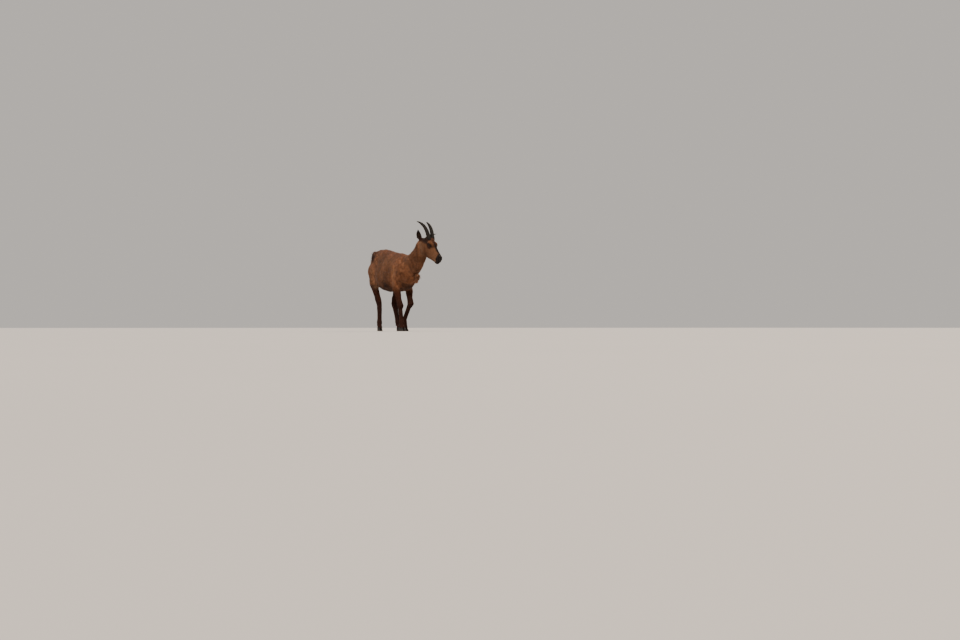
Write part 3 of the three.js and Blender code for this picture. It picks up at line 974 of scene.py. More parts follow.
@dataclass
class Skin:
    """The one closed skin under the coat, with the face modelled on it."""

    marks: Landmarks
    voxel: float = 0.0047
    overlap: float = 0.0006
    body_depth: float = 0.0075
    leg_depth: float = 0.0022
    head_depth: float = 0.0018
    horn_seat: tuple = (0.099, 0.028, 0.114)
    horn_plug: tuple = (0.021, 0.018, 0.020)
    ear_seat: tuple = (0.012, 0.044, 0.080)
    ear_plug: float = 0.017
    foot_shift: tuple = (-0.008, 0.0, 0.0)
    foot_plug: tuple = (0.0185, 0.0215, 0.017)
    foot_sink: float = 0.006
    tail_path: tuple = (
        (-0.436, 0.0, 0.774),
        (-0.464, -0.004, 0.784),
        (-0.484, -0.012, 0.768),
        (-0.496, -0.021, 0.738),
        (-0.500, -0.028, 0.706),
    )
    tail_radii: tuple = (0.020, 0.019, 0.016, 0.011, 0.004)
    wool_path: tuple = (
        (0.300, 0.038, 0.560),
        (0.321, 0.041, 0.545),
        (0.312, 0.041, 0.512),
        (0.298, 0.040, 0.480),
    )
    wool_radii: tuple = (0.011, 0.010, 0.008, 0.003)
    # start, end, width and depth of the hollows between muscles, seen from the side
    hollows: tuple = (
        ((-0.235, 0.705), (-0.215, 0.655), 0.036, 0.0085),
        ((-0.240, 0.640), (-0.285, 0.465), 0.017, 0.0070),
        ((-0.345, 0.700), (-0.395, 0.520), 0.015, 0.0035),
        ((0.120, 0.600), (0.078, 0.465), 0.016, 0.0065),
        ((0.150, 0.700), (0.130, 0.620), 0.020, 0.0030),
        ((0.160, 0.740), (0.232, 0.610), 0.015, 0.0045),
        ((0.232, 0.560), (0.150, 0.490), 0.013, 0.0040),
        ((0.350, 0.735), (0.250, 0.600), 0.013, 0.0030),
    )
    rib_step: float = 0.040
    rib_depth: float = 0.0016
    spine_groove: float = 0.0030
    buttock_sink: float = 0.0130
    knee_heights: tuple = (0.252, 0.272)
    knee_cap: float = 0.0050
    shin_sink: float = 0.0030
    hock: float = 0.0045
    fetlock: float = 0.0030
    # brow, hollow before the eye, cheek bone and jaw: height, middle and reach ahead, the same
    # upwards, and the distance out where it starts
    bones: tuple = (
        (0.0030, (0.136, 0.026), (0.096, 0.010), 0.020),
        (-0.0028, (0.172, 0.016), (0.056, 0.014), 0.015),
        (0.0016, (0.150, 0.045), (0.046, 0.009), 0.020),
        (-0.0022, (0.150, 0.060), (-0.012, 0.018), 0.020),
    )
    nostril: tuple = (
        (0.293, 0.0065, 0.000),
        (0.290, 0.012, 0.007),
        (0.283, 0.019, 0.013),
        (0.274, 0.0235, 0.014),
    )
    nostril_depth: float = 0.0056
    nostril_rim: float = 0.0013
    cheek_sink: float = 0.0014
    lip_depth: float = 0.0038
    lip_swell: float = 0.0012
    cleft_depth: float = 0.0016
    nose_reach: float = 0.006
    lid: float = 0.0020
    lid_reach: float = 0.012
    eye_sink: float = 0.0026
    # height, middle and reach of each ridge round the eye, by the almond measure
    upper_crease: tuple = (0.0013, 1.62, 0.16)
    lower_crease: tuple = (0.0008, 1.60, 0.14)
    lid_rim: tuple = (0.0007, 1.14, 0.10)
    lid_swell: float = 0.0009
    lowest: float = 0.004

    def nodes(self) -> list[str]:
        """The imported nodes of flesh."""
        legs = [f"leg_{where}_{side.word}" for where in ("front", "hind") for side in Side]
        return ["head", "neck", "torso", *legs]

    def replaced(self) -> list[str]:
        """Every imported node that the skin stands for."""
        return [*self.nodes(), "ear_right", "ear_left", "tail", "brisket_wool"]

    def tail_line(self) -> Array:
        """Places along the tail in the body's own frame."""
        return spline(self.tail_path, 24)

    def plugs(self) -> list[Shell]:
        """Forms under the skin that fill the seats of horns, eyes, ears and feet.

        Returns:
            One closed shell for each form.
        """
        marks = self.marks
        made = []
        for side in Side:
            seats = (self.horn_seat, marks.eye, self.ear_seat)
            horn, eye, ear = (marks.from_head(side.place(*seat)) for seat in seats)
            made.append(Shell.blob(horn, self.horn_plug, marks.axes))
            made.append(Shell.blob(eye, marks.eye_radius + 0.001))
            made.append(Shell.blob(ear, self.ear_plug))
            for where in ("front", "hind"):
                middle, top = marks.foot(where, side)
                middle[2] = top - self.foot_sink
                made.append(Shell.blob(middle + self.foot_shift, self.foot_plug))
        made.append(Shell.tube(marks.from_body(self.tail_line()), spline(self.tail_radii, 24)))
        made.append(Shell.tube(marks.from_body(spline(self.wool_path, 12)), spline(self.wool_radii, 12)))
        return made

    def zones(self, points: Array) -> Zones:
        """Region shares of places on the skin.

        Args:
            points: Places in the frame.

        Returns:
            The shares of every region.
        """
        marks = self.marks
        body = marks.body(points)
        x, _, z = body.T
        front = x > marks.midway
        level = np.array([math.cos(marks.yaw), math.sin(marks.yaw), 0.0])
        head = ease((body - marks.nape) @ level, -0.040, 0.040)
        neck = ease((body - marks.withers) @ unit(np.array(marks.neck_way)), -0.03, 0.04) - head
        neck = np.clip(neck, 0.0, 1.0) * ~(front & (z < 0.40))
        fore = ease(z, 0.45, 0.40) * front
        hind = ease(z - 0.30 * (-0.3 - x), 0.50, 0.43) * ~front * ease(x, -0.06, -0.10)
        path = self.tail_line()
        gap = np.linalg.norm(body[:, None] - path[None], axis=2)
        along = gap.argmin(1) / (len(path) - 1.0)
        tail = ease(gap.min(1), 0.034, 0.024) * ease(along, 0.12, 0.34)
        wool = ease(gap_to(body, *self.wool_path[1::2]), 0.021, 0.015) * ease(x, 0.290, 0.300)
        ear = np.zeros(len(points))
        for side in Side:
            root, tip = Ear(marks, side).line()
            way = unit(tip - root)
            arm = points - root
            reach = arm @ way
            away = np.linalg.norm(arm - reach[:, None] * way, axis=1)
            ear = np.maximum(ear, ease(reach, 0.004, 0.016) * ease(away, 0.056, 0.050))
        return Zones(head * (1.0 - ear), neck, fore, hind, tail, wool, ear)

    def build(self) -> Shell:
        """The finished skin.

        Returns:
            One closed shell with its ears.
        """
        flesh = [Shell.of_node(name, self.overlap) for name in self.nodes()]
        shell = Shell.joined([*flesh, *self.plugs()]).remeshed(self.voxel).largest()
        LOG.info("skin grid: %d points", len(shell.points))
        shell = self.refined(self.softened(shell))
        shell.points = self.face(shell)
        shell = self.with_ears(shell)
        shell.points[:, 2] = np.maximum(shell.points[:, 2], self.lowest)
        return shell

    def softened(self, shell: Shell) -> Shell:
        """The grid's skin with facets evened out and drawn in by the coat's depth.

        Args:
            shell: The skin as the grid gives it.

        Returns:
            The same shell with moved points.
        """
        zones = self.zones(shell.points)
        shell.points = shell.even(shell.points, 10, 1.0, (0.5, -0.52))
        broad = shell.even(np.clip(zones.trunk + zones.neck, 0.0, 1.0), 6)
        shell.points = shell.even(shell.points, 34, broad, (0.6, -0.3))
        nose = ease(self.marks.head(shell.points)[:, 0], 0.15, 0.26)
        quiet = (1.0 - zones.legs) * (1.0 - 0.7 * zones.head - 0.2 * nose * zones.head)
        shell.points = shell.even(shell.points, 8, quiet, (0.5, -0.4))
        depth = self.relief(shell.points) * (1.0 - zones.legs) * (1.0 - zones.head) + zones.blend(
            trunk=self.body_depth,
            neck=self.body_depth,
            legs=self.leg_depth,
            head=self.head_depth * (1.0 - 0.8 * nose),
        )
        depth = shell.even(depth + self.joints(shell), 8)
        shell.points = shell.points - shell.normals() * depth[:, None]
        x, _, z = self.marks.body(shell.points).T
        seam = soft(z - 0.480, 0.065) * ease(x, -0.16, -0.26)
        shell.points = shell.even(shell.points, 70, seam, (0.6, -0.3))
        return shell

    def relief(self, points: Array) -> Array:
        """How far the flesh lies in between its muscles and bones.

        Args:
            points: Places in the frame.

        Returns:
            One inward distance for each place.
        """
        x, y, z = self.marks.body(points).T
        side = np.abs(y)
        flank = np.stack([x, z], 1)
        total = sum(
            deep * soft(gap_to(flank, start, end), wide) for start, end, wide, deep in self.hollows
        )
        ribs = self.rib_depth * (0.5 + 0.5 * np.sin((x + 0.22 * z) * TURN / self.rib_step))
        ribs *= ease(x, -0.21, -0.15) * ease(x, 0.07, 0.03) * ease(z, 0.43, 0.50) * ease(z, 0.70, 0.64)
        total = (total + ribs) * ease(side, 0.035, 0.075)
        groove = self.spine_groove * soft(side - 0.042, 0.016)
        return total + groove * ease(z, 0.715, 0.745) * ease(x, 0.20, 0.12)

    def joints(self, shell: Shell) -> Array:
        """Inward distances at the buttocks, and outward ones at knee caps and hocks.

        Args:
            shell: The skin.

        Returns:
            One inward distance for each point.
        """
        x, y, z = self.marks.body(shell.points).T
        ahead = shell.normals()[:, 0]
        knee = np.where(y < 0.0, *self.knee_heights)
        fore = (x > self.marks.midway) * ease(ahead, 0.1, 0.7)
        total = self.buttock_sink * ease(x, -0.345, -0.390) * ease(z, 0.565, 0.505) * ease(z, 0.375, 0.425)
        total -= self.knee_cap * soft(z - knee, 0.024) * fore
        total += self.shin_sink * soft(z - knee + 0.048, 0.020) * fore
        total -= self.hock * soft(z - knee - 0.062, 0.022) * (x < -0.10) * ease(ahead, -0.1, -0.7)
        return total - self.fetlock * soft(z - 0.088, 0.018)

    def refined(self, shell: Shell) -> Shell:
        """The head's faces divided, and those of eyes and muzzle once more.

        Args:
            shell: The softened skin.

        Returns:
            The skin with a fine head.
        """
        scratch = piece_of("scratch", shell)
        build = bmesh.new()
        build.from_mesh(scratch.data)
        bpy.data.objects.remove(scratch)
        for level in range(2):
            build.verts.ensure_lookup_table()
            x, y, z = self.marks.head(np.array([v.co for v in build.verts])).T
            if level == 0:
                chosen = (x > 0.03) & (z > -0.09) & (np.abs(y) < 0.08)
            else:
                eyes = np.linalg.norm(np.stack([x, np.abs(y), z], 1) - self.marks.eye, axis=1)
                chosen = (eyes < 0.030) | ((x > 0.236) & (x < 0.4))
            picked = [e for e in build.edges if chosen[e.verts[0].index] and chosen[e.verts[1].index]]
            bmesh.ops.subdivide_edges(build, edges=picked, cuts=1, use_grid_fill=True)
            bmesh.ops.triangulate(build, faces=build.faces)
        fine = Shell.of_build(build)
        near = ease(self.marks.head(fine.points)[:, 0], 0.02, 0.05)
        fine.points = fine.even(fine.points, 4, near, (0.5, -0.45))
        LOG.info("skin with a fine head: %d faces", len(fine.faces))
        return fine

    def face(self, shell: Shell) -> Array:
        """Lids, brows, nostrils and mouth pressed into the head.

        Args:
            shell: The skin with its fine head.

        Returns:
            The moved points.
        """
        at = self.marks.head(shell.points)
        outward = shell.normals() @ self.marks.axes.T
        x, y, z = at[:, 0], np.abs(at[:, 1]), at[:, 2]
        push = sum(tall * bell((x, *ahead), (z, *up)) * (y > out) for tall, ahead, up, out in self.bones)
        cheek = soft(x - 0.178 - 0.4 * (z + 0.02), 0.008) * ease(z, -0.055, -0.03) * ease(z, 0.03, 0.01)
        push -= self.cheek_sink * cheek * (y > 0.015)
        # the nostril is a comma that curls up and back round the wing of the nose
        nose = x > 0.24
        gap = np.full(len(at), 1.0)
        near = np.stack([x, y, z], 1)[nose]
        gap[nose] = np.linalg.norm(near[:, None] - spline(self.nostril, 20)[None], axis=2).min(1)
        push += self.nostril_rim * soft(gap - 0.0058, 0.0024) - self.nostril_depth * soft(gap, 0.0027)
        # the line of the mouth falls towards the lips' corner
        line = mouth_line(x)
        swell = soft(z - line - 0.0062, 0.0038) + soft(z - line + 0.0062, 0.0038)
        push += ease(x, 0.226, 0.240) * (self.lip_swell * swell - self.lip_depth * soft(z - line, 0.0017))
        cleft = soft(y, 0.0016) * ease(x, 0.280, 0.286) * ease(z, line.max(), line.max() + 0.004)
        push -= self.cleft_depth * cleft * (z < 0.006)
        at = at + outward * push[:, None]
        at[:, 0] += self.nose_reach * ease(x, 0.225, 0.285)
        for side in Side:
            at = self.lids(at, side)
        return self.marks.from_head(at)

    def lids(self, at: Array, side: Side) -> Array:
        """The skin laid round one eyeball with an almond opening.

        Args:
            at: Points in the head's own frame.
            side: Which eye.

        Returns:
            The moved points.
        """
        radius = self.marks.eye_radius
        socket = Socket(self.marks, side)
        far, height, almond = socket.measure(at)
        near = (far < radius + self.lid_reach) & (almond < Socket.BEHIND)
        share = ease(far, radius + self.lid_reach, radius + 0.005)

        def ridge(tall: float, middle: float, reach: float) -> Array:
            """A ridge round the eye."""
            return tall * soft(almond - middle, reach)

        crease = ridge(*self.upper_crease) * ease(height, -0.2, 0.6)
        crease += ridge(*self.lower_crease) * ease(height, 0.2, -0.6)
        rim = ridge(*self.lid_rim) + self.lid_swell * ease(height, 0.2, 1.0)
        shut = radius + self.lid - crease + rim
        goal = np.where(almond < 1.0, radius - self.eye_sink, far + (shut - far) * share)
        moved = socket.centre() + unit(at - socket.centre()) * goal[:, None]
        return np.where(near[:, None], moved, at)

    def with_ears(self, shell: Shell) -> Shell:
        """The skin and both ears as one shell, soft where they meet.

        Args:
            shell: The skin with its face.

        Returns:
            One closed shell.
        """
        ears = [Ear(self.marks, side) for side in Side]
        for ear in ears:
            base, added = piece_of("scratch", shell), piece_of("scratch_ear", ear.shell())
            cut = base.modifiers.new("ear", "BOOLEAN")
            cut.operation = "UNION"
            cut.solver = "MANIFOLD"
            cut.object = added
            joined = evaluated(base)
            bpy.data.objects.remove(added)
            bpy.data.objects.remove(base)
            if len(joined.faces) > len(shell.faces):
                shell = joined
        shell = shell.largest()
        root = np.minimum.reduce([ear.from_root(shell.points) for ear in ears])
        shell.points = shell.even(shell.points, 6, ease(root, 0.026, 0.014))
        return shell


def mouth_line(ahead: Array) -> Array:
    """Height of the line between the lips, by the distance ahead on the head."""
    return -0.028 + (ahead - 0.246) * math.tan(math.radians(6.0))


@dataclass
class Places:
    """Places on the skin, with all that the rules of the coat read there.

    The letters x, y, z are the body's own ahead, left and up, and u, v, w the head's own ahead,
    outwards and up.
    """

    marks: Landmarks
    points: Array
    normals: Array
    zones: Zones

    def __post_init__(self) -> None:
        """Works out the places in both frames."""
        self.body = self.marks.body(self.points)
        self.head = self.marks.head(self.points)
        self.x, self.y, self.z = self.body.T
        self.u, self.v, self.w = self.head[:, 0], np.abs(self.head[:, 1]), self.head[:, 2]
        self.side = np.abs(self.y)
        self.ahead, _, self.up = self.normals.T
        self.flank = np.stack([self.x, self.z], 1)
        self.profile = np.stack([self.u, self.w], 1)


@dataclass(frozen=True)
class Mark:
    """One tone on the coat and what limits it.

    It stays within a region. Each fade names a measure, where the tone is nothing and where it is
    full; each spot names a measure, its middle and its reach. A line is seen from the side, in the
    flank's or the profile's view, from its start to its end, with a reach. On the left it may be
    weaker.
    """

    tone: Tone
    share: float = 1.0
    within: str = "skin"
    fades: tuple = ()
    spots: tuple = ()
    line: tuple = ()
    left: float = 1.0

    def over(self, at: dict[str, Array]) -> Array:
        """Its strength at places.

        Args:
            at: Measures, regions and views of the places, by name.

        Returns:
            One share for each place.
        """
        share = self.share * at[self.within] * np.where(at["y"] < 0.0, 1.0, self.left)
        for measure, start, end in self.fades:
            share = share * ease(at[measure], start, end)
        for measure, middle, reach in self.spots:
            share = share * soft(at[measure] - middle, reach)
        if self.line:
            view, start, end, reach = self.line
            share = share * soft(gap_to(at[view], start, end), reach)
        return share


@dataclass
class Paint:
    """Linear colours of places, on which tones are laid one over another."""

    tones: Array

    def lay(self, tone: Tone, share: Array) -> None:
        """Lays a tone over what is there, by a share for each place."""
        share = np.clip(share, 0.0, 1.0)[:, None]
        self.tones = self.tones * (1.0 - share) + tone.linear() * share


UPPER_BAND = ((0.030, 0.055), (0.074, 0.005))
LOWER_BAND = ((0.074, 0.005), (0.118, -0.045))
CROWN = (("u", 0.124, 0.104), ("u", -0.030, -0.005))
NOSE_BRIDGE = (("v", 0.038, 0.018), ("u", 0.085, 0.105), ("u", 0.200, 0.170), ("w", 0.045, 0.075))


@dataclass
class Markings:
    """Colours of the coat over the animal."""

    marks: Landmarks
    # washes and lines of rump, flank, shoulder and neck; the dark lower belly and the dark lines in the
    # hollows between muscles are painted shade, and the pale lines along the muscles' edges are painted
    # highlights
    trunk: tuple = (
        Mark(Tone.RUMP, 0.90, fades=(("x", -0.16, -0.34),)),
        Mark(Tone.SHOULDER, 0.90, fades=(("x", 0.04, 0.13),)),
        Mark(Tone.STREAK, 0.45, fades=(("x", -0.29, -0.38), ("z", 0.70, 0.62))),
        Mark(Tone.BACK, 0.85, fades=(("up", 0.35, 0.90), ("z", 0.68, 0.76))),
        # the lower belly darkened: painted shade on the underside
        Mark(Tone.EDGE, 0.95, "off_fore_leg", (("belly", 0.485, 0.415), ("x", -0.42, -0.34))),
        # dark line along a muscle's edge: painted shade
        Mark(Tone.EDGE, 0.30, line=("flank", (0.058, 0.590), (0.048, 0.480), 0.018)),
        # pale line along the shoulder blade's rear edge: painted highlight
        Mark(Tone.STREAK, 0.85, line=("flank", (0.105, 0.610), (0.132, 0.470), 0.017)),
        # a dark patch on the side of the rump, stronger on the right
        Mark(Tone.DARK, 0.92, fades=(("stain", 1.45, 0.40), ("side", 0.05, 0.08)), left=0.38),
        # pale line along a muscle's edge: painted highlight
        Mark(Tone.STREAK, 0.40, line=("flank", (0.232, 0.660), (0.226, 0.590), 0.011)),
        # dark lines in the hollows between muscles: painted shade
        Mark(Tone.EDGE, 0.40, line=("flank", (0.190, 0.740), (0.205, 0.640), 0.020)),
        Mark(Tone.EDGE, 0.40, line=("flank", (-0.225, 0.690), (-0.245, 0.560), 0.018)),
        # pale line down the thigh: painted highlight
        Mark(Tone.STREAK, 0.75, line=("flank", (-0.290, 0.600), (-0.283, 0.500), 0.026)),
        # dark line in a hollow between muscles: painted shade
        Mark(Tone.EDGE, 0.40, line=("flank", (0.030, 0.590), (0.010, 0.520), 0.026)),
        Mark(Tone.NECK, 1.00, "neck"),
        Mark(Tone.STREAK, 0.30, "neck", (("fine", 0.2, 1.2),)),
        Mark(Tone.GROIN, 0.80, "under", (("x", -0.12, -0.20), ("x", -0.31, -0.26))),
        # the leg's dark brown on the thigh's down-facing underside: painted shade under the buttock's
        # overhang
        Mark(Tone.LEG, 0.85, fades=(("up", -0.10, -0.65), ("z", 0.60, 0.50), ("x", -0.25, -0.33))),
        Mark(Tone.DARK, 0.80, fades=(("corner", 1.35, 0.50),), left=0.50),
        Mark(Tone.DARK, 1.00, "tail"),
        Mark(Tone.WOOL, 0.85, "wool"),
    )
    # dark of the legs, and the pale groin
    limbs: tuple = (
        Mark(Tone.LEG, 1.00, "fore", (("z", 0.455, 0.375),)),
        Mark(Tone.DARK, 0.85, "fore", (("z", 0.37, 0.24),)),
        Mark(Tone.LEG, 1.00, "hind", (("slope", 0.495, 0.430), ("x", -0.13, -0.20))),
        Mark(Tone.DARK, 1.00, "hind", (("z", 0.44, 0.34),)),
        Mark(Tone.LEG, 0.80, "hind", (("z", 0.40, 0.36), ("z", 0.28, 0.32), ("ahead", 0.4, 0.9))),
        Mark(Tone.GROIN, 0.90, spots=(("x", -0.266, 0.022), ("z", 0.445, 0.020))),
    )
    # cheek, pale bands, crown, brows, bridge, muzzle, lips and chin
    head: tuple = (
        Mark(Tone.CHEEK, 1.00, "head"),
        Mark(Tone.BAND, 0.70, fades=(("v", 0.015, 0.035),), line=("profile", *UPPER_BAND, 0.016)),
        Mark(Tone.BAND, 0.40, fades=(("v", 0.010, 0.030),), line=("profile", *LOWER_BAND, 0.016)),
        Mark(Tone.EDGE, 0.50, "head", line=("profile", (0.112, 0.020), (0.140, -0.030), 0.016)),
        Mark(Tone.DARK, 0.92, fades=(("w", 0.054, 0.080), *CROWN)),
        Mark(Tone.RIM, 0.60, fades=(("w", 0.062, 0.084), *CROWN)),
        Mark(Tone.BROW, 0.80, "head", (("v", 0.014, 0.016),), (("u", 0.137, 0.024), ("w", 0.103, 0.010))),
        Mark(Tone.LEG, 0.55, "head", NOSE_BRIDGE),
        Mark(Tone.DARK, 0.45, "head", NOSE_BRIDGE),
        Mark(Tone.MUZZLE, 1.00, "head", (("nose", 0.246, 0.280), ("w", -0.085, -0.045))),
        Mark(Tone.MUZZLE, 0.90, "head", (("u", 0.228, 0.246), ("w", -0.034, -0.046))),
        Mark(Tone.MUZZLE, 1.00, "head", (("v", 0.021, 0.009), ("u", 0.13, 0.19), ("w", 0.03, 0.05))),
        Mark(Tone.BAND, 0.70, "head", spots=(("u", 0.238, 0.010), ("w", -0.024, 0.006))),
        Mark(Tone.BAND, 0.70, "head", spots=(("u", 0.254, 0.013), ("w", -0.045, 0.010))),
        Mark(Tone.MUZZLE, 1.00, "head", (("u", 0.256, 0.268), ("w", -0.045, -0.035))),
        Mark(Tone.BAND, 0.85, "head", spots=(("u", 0.252, 0.012), ("w", -0.034, 0.008))),
    )
    stain_at: tuple = (-0.345, 0.746)
    stain_half: tuple = (0.055, 0.042)
    corner_at: tuple = (-0.400, 0.064, 0.735)
    corner_half: tuple = (0.052, 0.045, 0.040)

    def measures(self, at: Places) -> dict[str, Array]:
        """Everything that a mark may name.

        Args:
            at: Places on the skin.

        Returns:
            Values for each place, by name.
        """
        cloud = ripple(at.points, 0.16, 3)
        fine = ripple(at.points * [1.0, 1.0, 0.45], 0.040, 4)
        stain = np.linalg.norm((at.flank - self.stain_at) / self.stain_half, axis=1)
        mirrored = np.stack([at.x, at.side, at.z], 1)
        under = ease(at.up, -0.35, -0.9) * ease(at.z, 0.50, 0.42) * ease(at.side, 0.09, 0.04)
        return vars(at) | vars(at.zones) | {
            "cloud": cloud,
            "fine": fine,
            "skin": np.ones(len(at.x)),
            "fore": at.x > self.marks.midway,
            "hind": at.x < -0.08,
            "off_fore_leg": 1.0 - at.zones.fore_leg,
            "belly": at.z + 0.02 * cloud,
            "slope": at.z - 0.25 * (-0.3 - at.x),
            "under": under,
            "stain": stain + 0.22 * fine + 0.15 * cloud,
            "corner": np.linalg.norm((mirrored - self.corner_at) / self.corner_half, axis=1),
            "nose": at.u + 0.2 * at.w,
        }

    def colours(self, at: Places) -> Array:
        """The coat's colour at places on the skin.

        Args:
            at: The places.

        Returns:
            One linear colour for each place.
        """
        given = self.measures(at)
        coat = Paint(np.tile(Tone.FLANK.linear(), (len(at.points), 1)))
        for mark in (*self.trunk, *self.limbs, *self.head):
            coat.lay(mark.tone, mark.over(given))
        self.eyes(coat, at)
        self.ears(coat, at)
        drawn_out = at.points * [0.55, 1.0, 1.0] + at.points[:, [2, 1, 0]] * [0.4, 0.0, 0.0]
        uneven = 0.13 * given["fine"] + 0.11 * ripple(drawn_out, 0.024, 6)
        uneven *= (1.0 - 0.7 * at.zones.head) * (1.0 - 0.5 * at.zones.legs)
        return coat.tones * (1.0 + 0.10 * given["cloud"] + uneven)[:, None]

    def eyes(self, coat: Paint, at: Places) -> None:
        """Lays the dark round the eyes and in front of them.

        Args:
            coat: What is painted.
            at: Places on the skin.
        """
        for side in Side:
            socket = Socket(self.marks, side)
            far, height, almond = socket.measure(at.head)
            seen = almond < Socket.BEHIND
            middle = socket.centre()[[0, 2]]
            under = np.linalg.norm(at.profile - middle - [0.008, -0.015], axis=1)
            ahead = gap_to(at.profile, middle + [0.014, -0.005], middle + [0.030, -0.010])
            coat.lay(Tone.DARK, 0.92 * ease(far, 0.036, 0.023) * ease(height, 3.4, 1.6) * seen)
            coat.lay(Tone.DARK, 0.70 * ease(under, 0.028, 0.013) * seen)
            coat.lay(Tone.RIM, ease(almond, 1.75, 1.30) * (far < 0.03))
            coat.lay(Tone.DARK, 0.85 * soft(ahead, 0.011) * seen)
            coat.lay(Tone.RIM, 0.7 * soft(ahead, 0.004) * seen)

    def ears(self, coat: Paint, at: Places) -> None:
        """Lays near-black over the ears, painted shade round their roots, and the paler hair in their
        hollows.

        Args:
            coat: What is painted.
            at: Places on the skin.
        """
        coat.lay(Tone.DARK, at.zones.ear)
        coat.lay(Tone.RIM, 0.85 * at.zones.ear)
        for side in Side:
            ear = Ear(self.marks, side)
            root, tip = ear.line()
            inside = at.normals @ (unit(ear.pose()[1]) @ self.marks.axes)
            reach = (at.points - root) @ unit(tip - root)
            hollow = at.zones.ear * ear.holds(at.points, 0.08) * ease(inside, 0.2, 0.8)
            coat.lay(Tone.INNER_EAR, 0.45 * hollow * ease(reach, 0.075, 0.035))
            # darkening round each ear's root: painted shade where the ear meets the head
            coat.lay(Tone.DARK, 0.6 * soft(ear.from_root(at.points), 0.020))

    def bare(self, at: Places) -> Array:
        """Where the skin is bare: nose, lips and lid rims.

        Args:
            at: Places on the skin.

        Returns:
            One share for each place.
        """
        nose = ease(at.u + 0.25 * at.w, 0.272, 0.284) * ease(at.w, -0.034, -0.028) * ease(at.v, 0.024, 0.018)
        lips = soft(at.w - mouth_line(at.u), 0.0035) * ease(at.u, 0.236, 0.250)
        eye = np.linalg.norm(np.stack([at.u, at.v, at.w], 1) - self.marks.eye, axis=1)
        lids = ease(eye, self.marks.eye_radius + 0.0048, self.marks.eye_radius + 0.0034)
        return np.clip(at.zones.head * np.maximum.reduce([nose, lips, lids]), 0.0, 1.0)


@dataclass
class Lay:
    """The way the hair runs, and how long, wide and steep it grows."""

    skin: Skin
    # amount, wave length and seed
    swirls: tuple = ((0.34, 0.11, 11), (0.30, 0.035, 12))
    body_lift: float = 0.20
    rough_lift: float = 0.16
    widths: dict = field(
        default_factory=lambda: {
            "head": 0.0011,
            "legs": 0.0010,
            "ear": 0.0009,
            "trunk": 0.0019,
            "neck": 0.0019,
            "tail": 0.0026,
            "wool": 0.0017,
        }
    )
    lifts: dict = field(
        default_factory=lambda: {"head": 0.17, "legs": 0.17, "ear": 0.10, "tail": 0.30, "wool": 0.45}
    )

    def ways(self, at: Places) -> Array:
        """The lie of the coat along the skin.

        Args:
            at: Places on the skin.

        Returns:
            One direction along the skin for each place.
        """
        marks, zones = self.skin.marks, at.zones
        level, _, up = marks.axes
        down = ease(at.x, -0.20, -0.40)[:, None] * np.array([0.45, 0.0, -0.75])
        fall = ease(at.x, 0.05, 0.20)[:, None] * np.array([0.35, 0.0, -0.55])
        top = ease(at.w, 0.07, 0.11)[:, None]
        path = self.skin.tail_line()
        nearest = np.linalg.norm(at.body[:, None] - path[None], axis=2).argmin(1)
        wool = unit(at.body - self.skin.wool_path[2]) * 0.15 + np.array([-0.30, 0.0, -0.9])
        ear = np.zeros_like(at.points)
        for side in Side:
            one = Ear(marks, side)
            ear[one.holds(at.points, 0.085)] = unit(one.line()[1] - one.line()[0])
        rows = (
            (zones.trunk, np.array([-0.92, 0.0, -0.34]) + down + fall),
            (zones.neck, np.array([-0.62, -0.12, -0.78])),
            (zones.legs, np.array([-0.14, 0.0, -1.0])),
            (zones.head, (-level - 0.35 * up) * (1.0 - top) + (-level + 0.5 * up) * top),
            (zones.tail * 3.0, unit(np.gradient(path, axis=0))[nearest]),
            (zones.wool * 3.0, wool),
            (zones.ear * 3.0, ear),
        )
        total = unit(sum(share[:, None] * unit(way) for share, way in rows))
        swirl = sum(amount * ripple(at.points, size, seed) for amount, size, seed in self.swirls)
        calm = 1.0 - zones.blend(head=0.6, legs=0.4, ear=0.9)
        total += np.cross(at.normals, total) * (swirl * calm)[:, None]
        total -= (total * at.normals).sum(1, keepdims=True) * at.normals
        return unit(total)

    def length(self, at: Places) -> Array:
        """Length of the tufts at places on the skin.

        Args:
            at: The places.

        Returns:
            One length for each place.
        """
        x, z, u, v, w = at.x, at.z, at.u, at.v, at.w
        legs = 0.011 + 0.008 * ease(z, 0.30, 0.44) - 0.004 * ease(z, 0.2, 0.06)
        legs += 0.006 * ease(z, 0.060, 0.045)
        head = 0.0105 - 0.0065 * ease(u, 0.08, 0.25) + 0.008 * soft(u - 0.085, 0.02) * ease(w, 0.095, 0.115)
        horns = np.linalg.norm(np.stack([u - 0.104, v - 0.029, w - 0.114], 1), axis=1)
        grown = at.zones.blend(
            trunk=0.020 + 0.008 * np.maximum(ease(x, -0.36, -0.46), ease(z, 0.46, 0.41)),
            neck=0.021,
            legs=legs,
            head=head + 0.009 * soft(horns - 0.023, 0.009),
            ear=0.0046,
            tail=0.031,
            wool=0.022 + 0.008 * ripple(at.points, 0.020, 31),
        )
        roots = np.minimum.reduce([Ear(self.skin.marks, side).from_root(at.points) for side in Side])
        return grown * (1.0 - 0.6 * ease(roots, 0.065, 0.025) * (1.0 - at.zones.ear))

    def width(self, at: Places) -> Array:
        """Width of the tufts."""
        return at.zones.blend(**self.widths)

    def lift(self, at: Places) -> Array:
        """Angle at which the tufts leave the skin."""
        body = self.body_lift + self.rough_lift * (0.5 + 0.5 * ripple(at.points, 0.05, 21))
        return at.zones.blend(trunk=body, neck=body, **self.lifts)


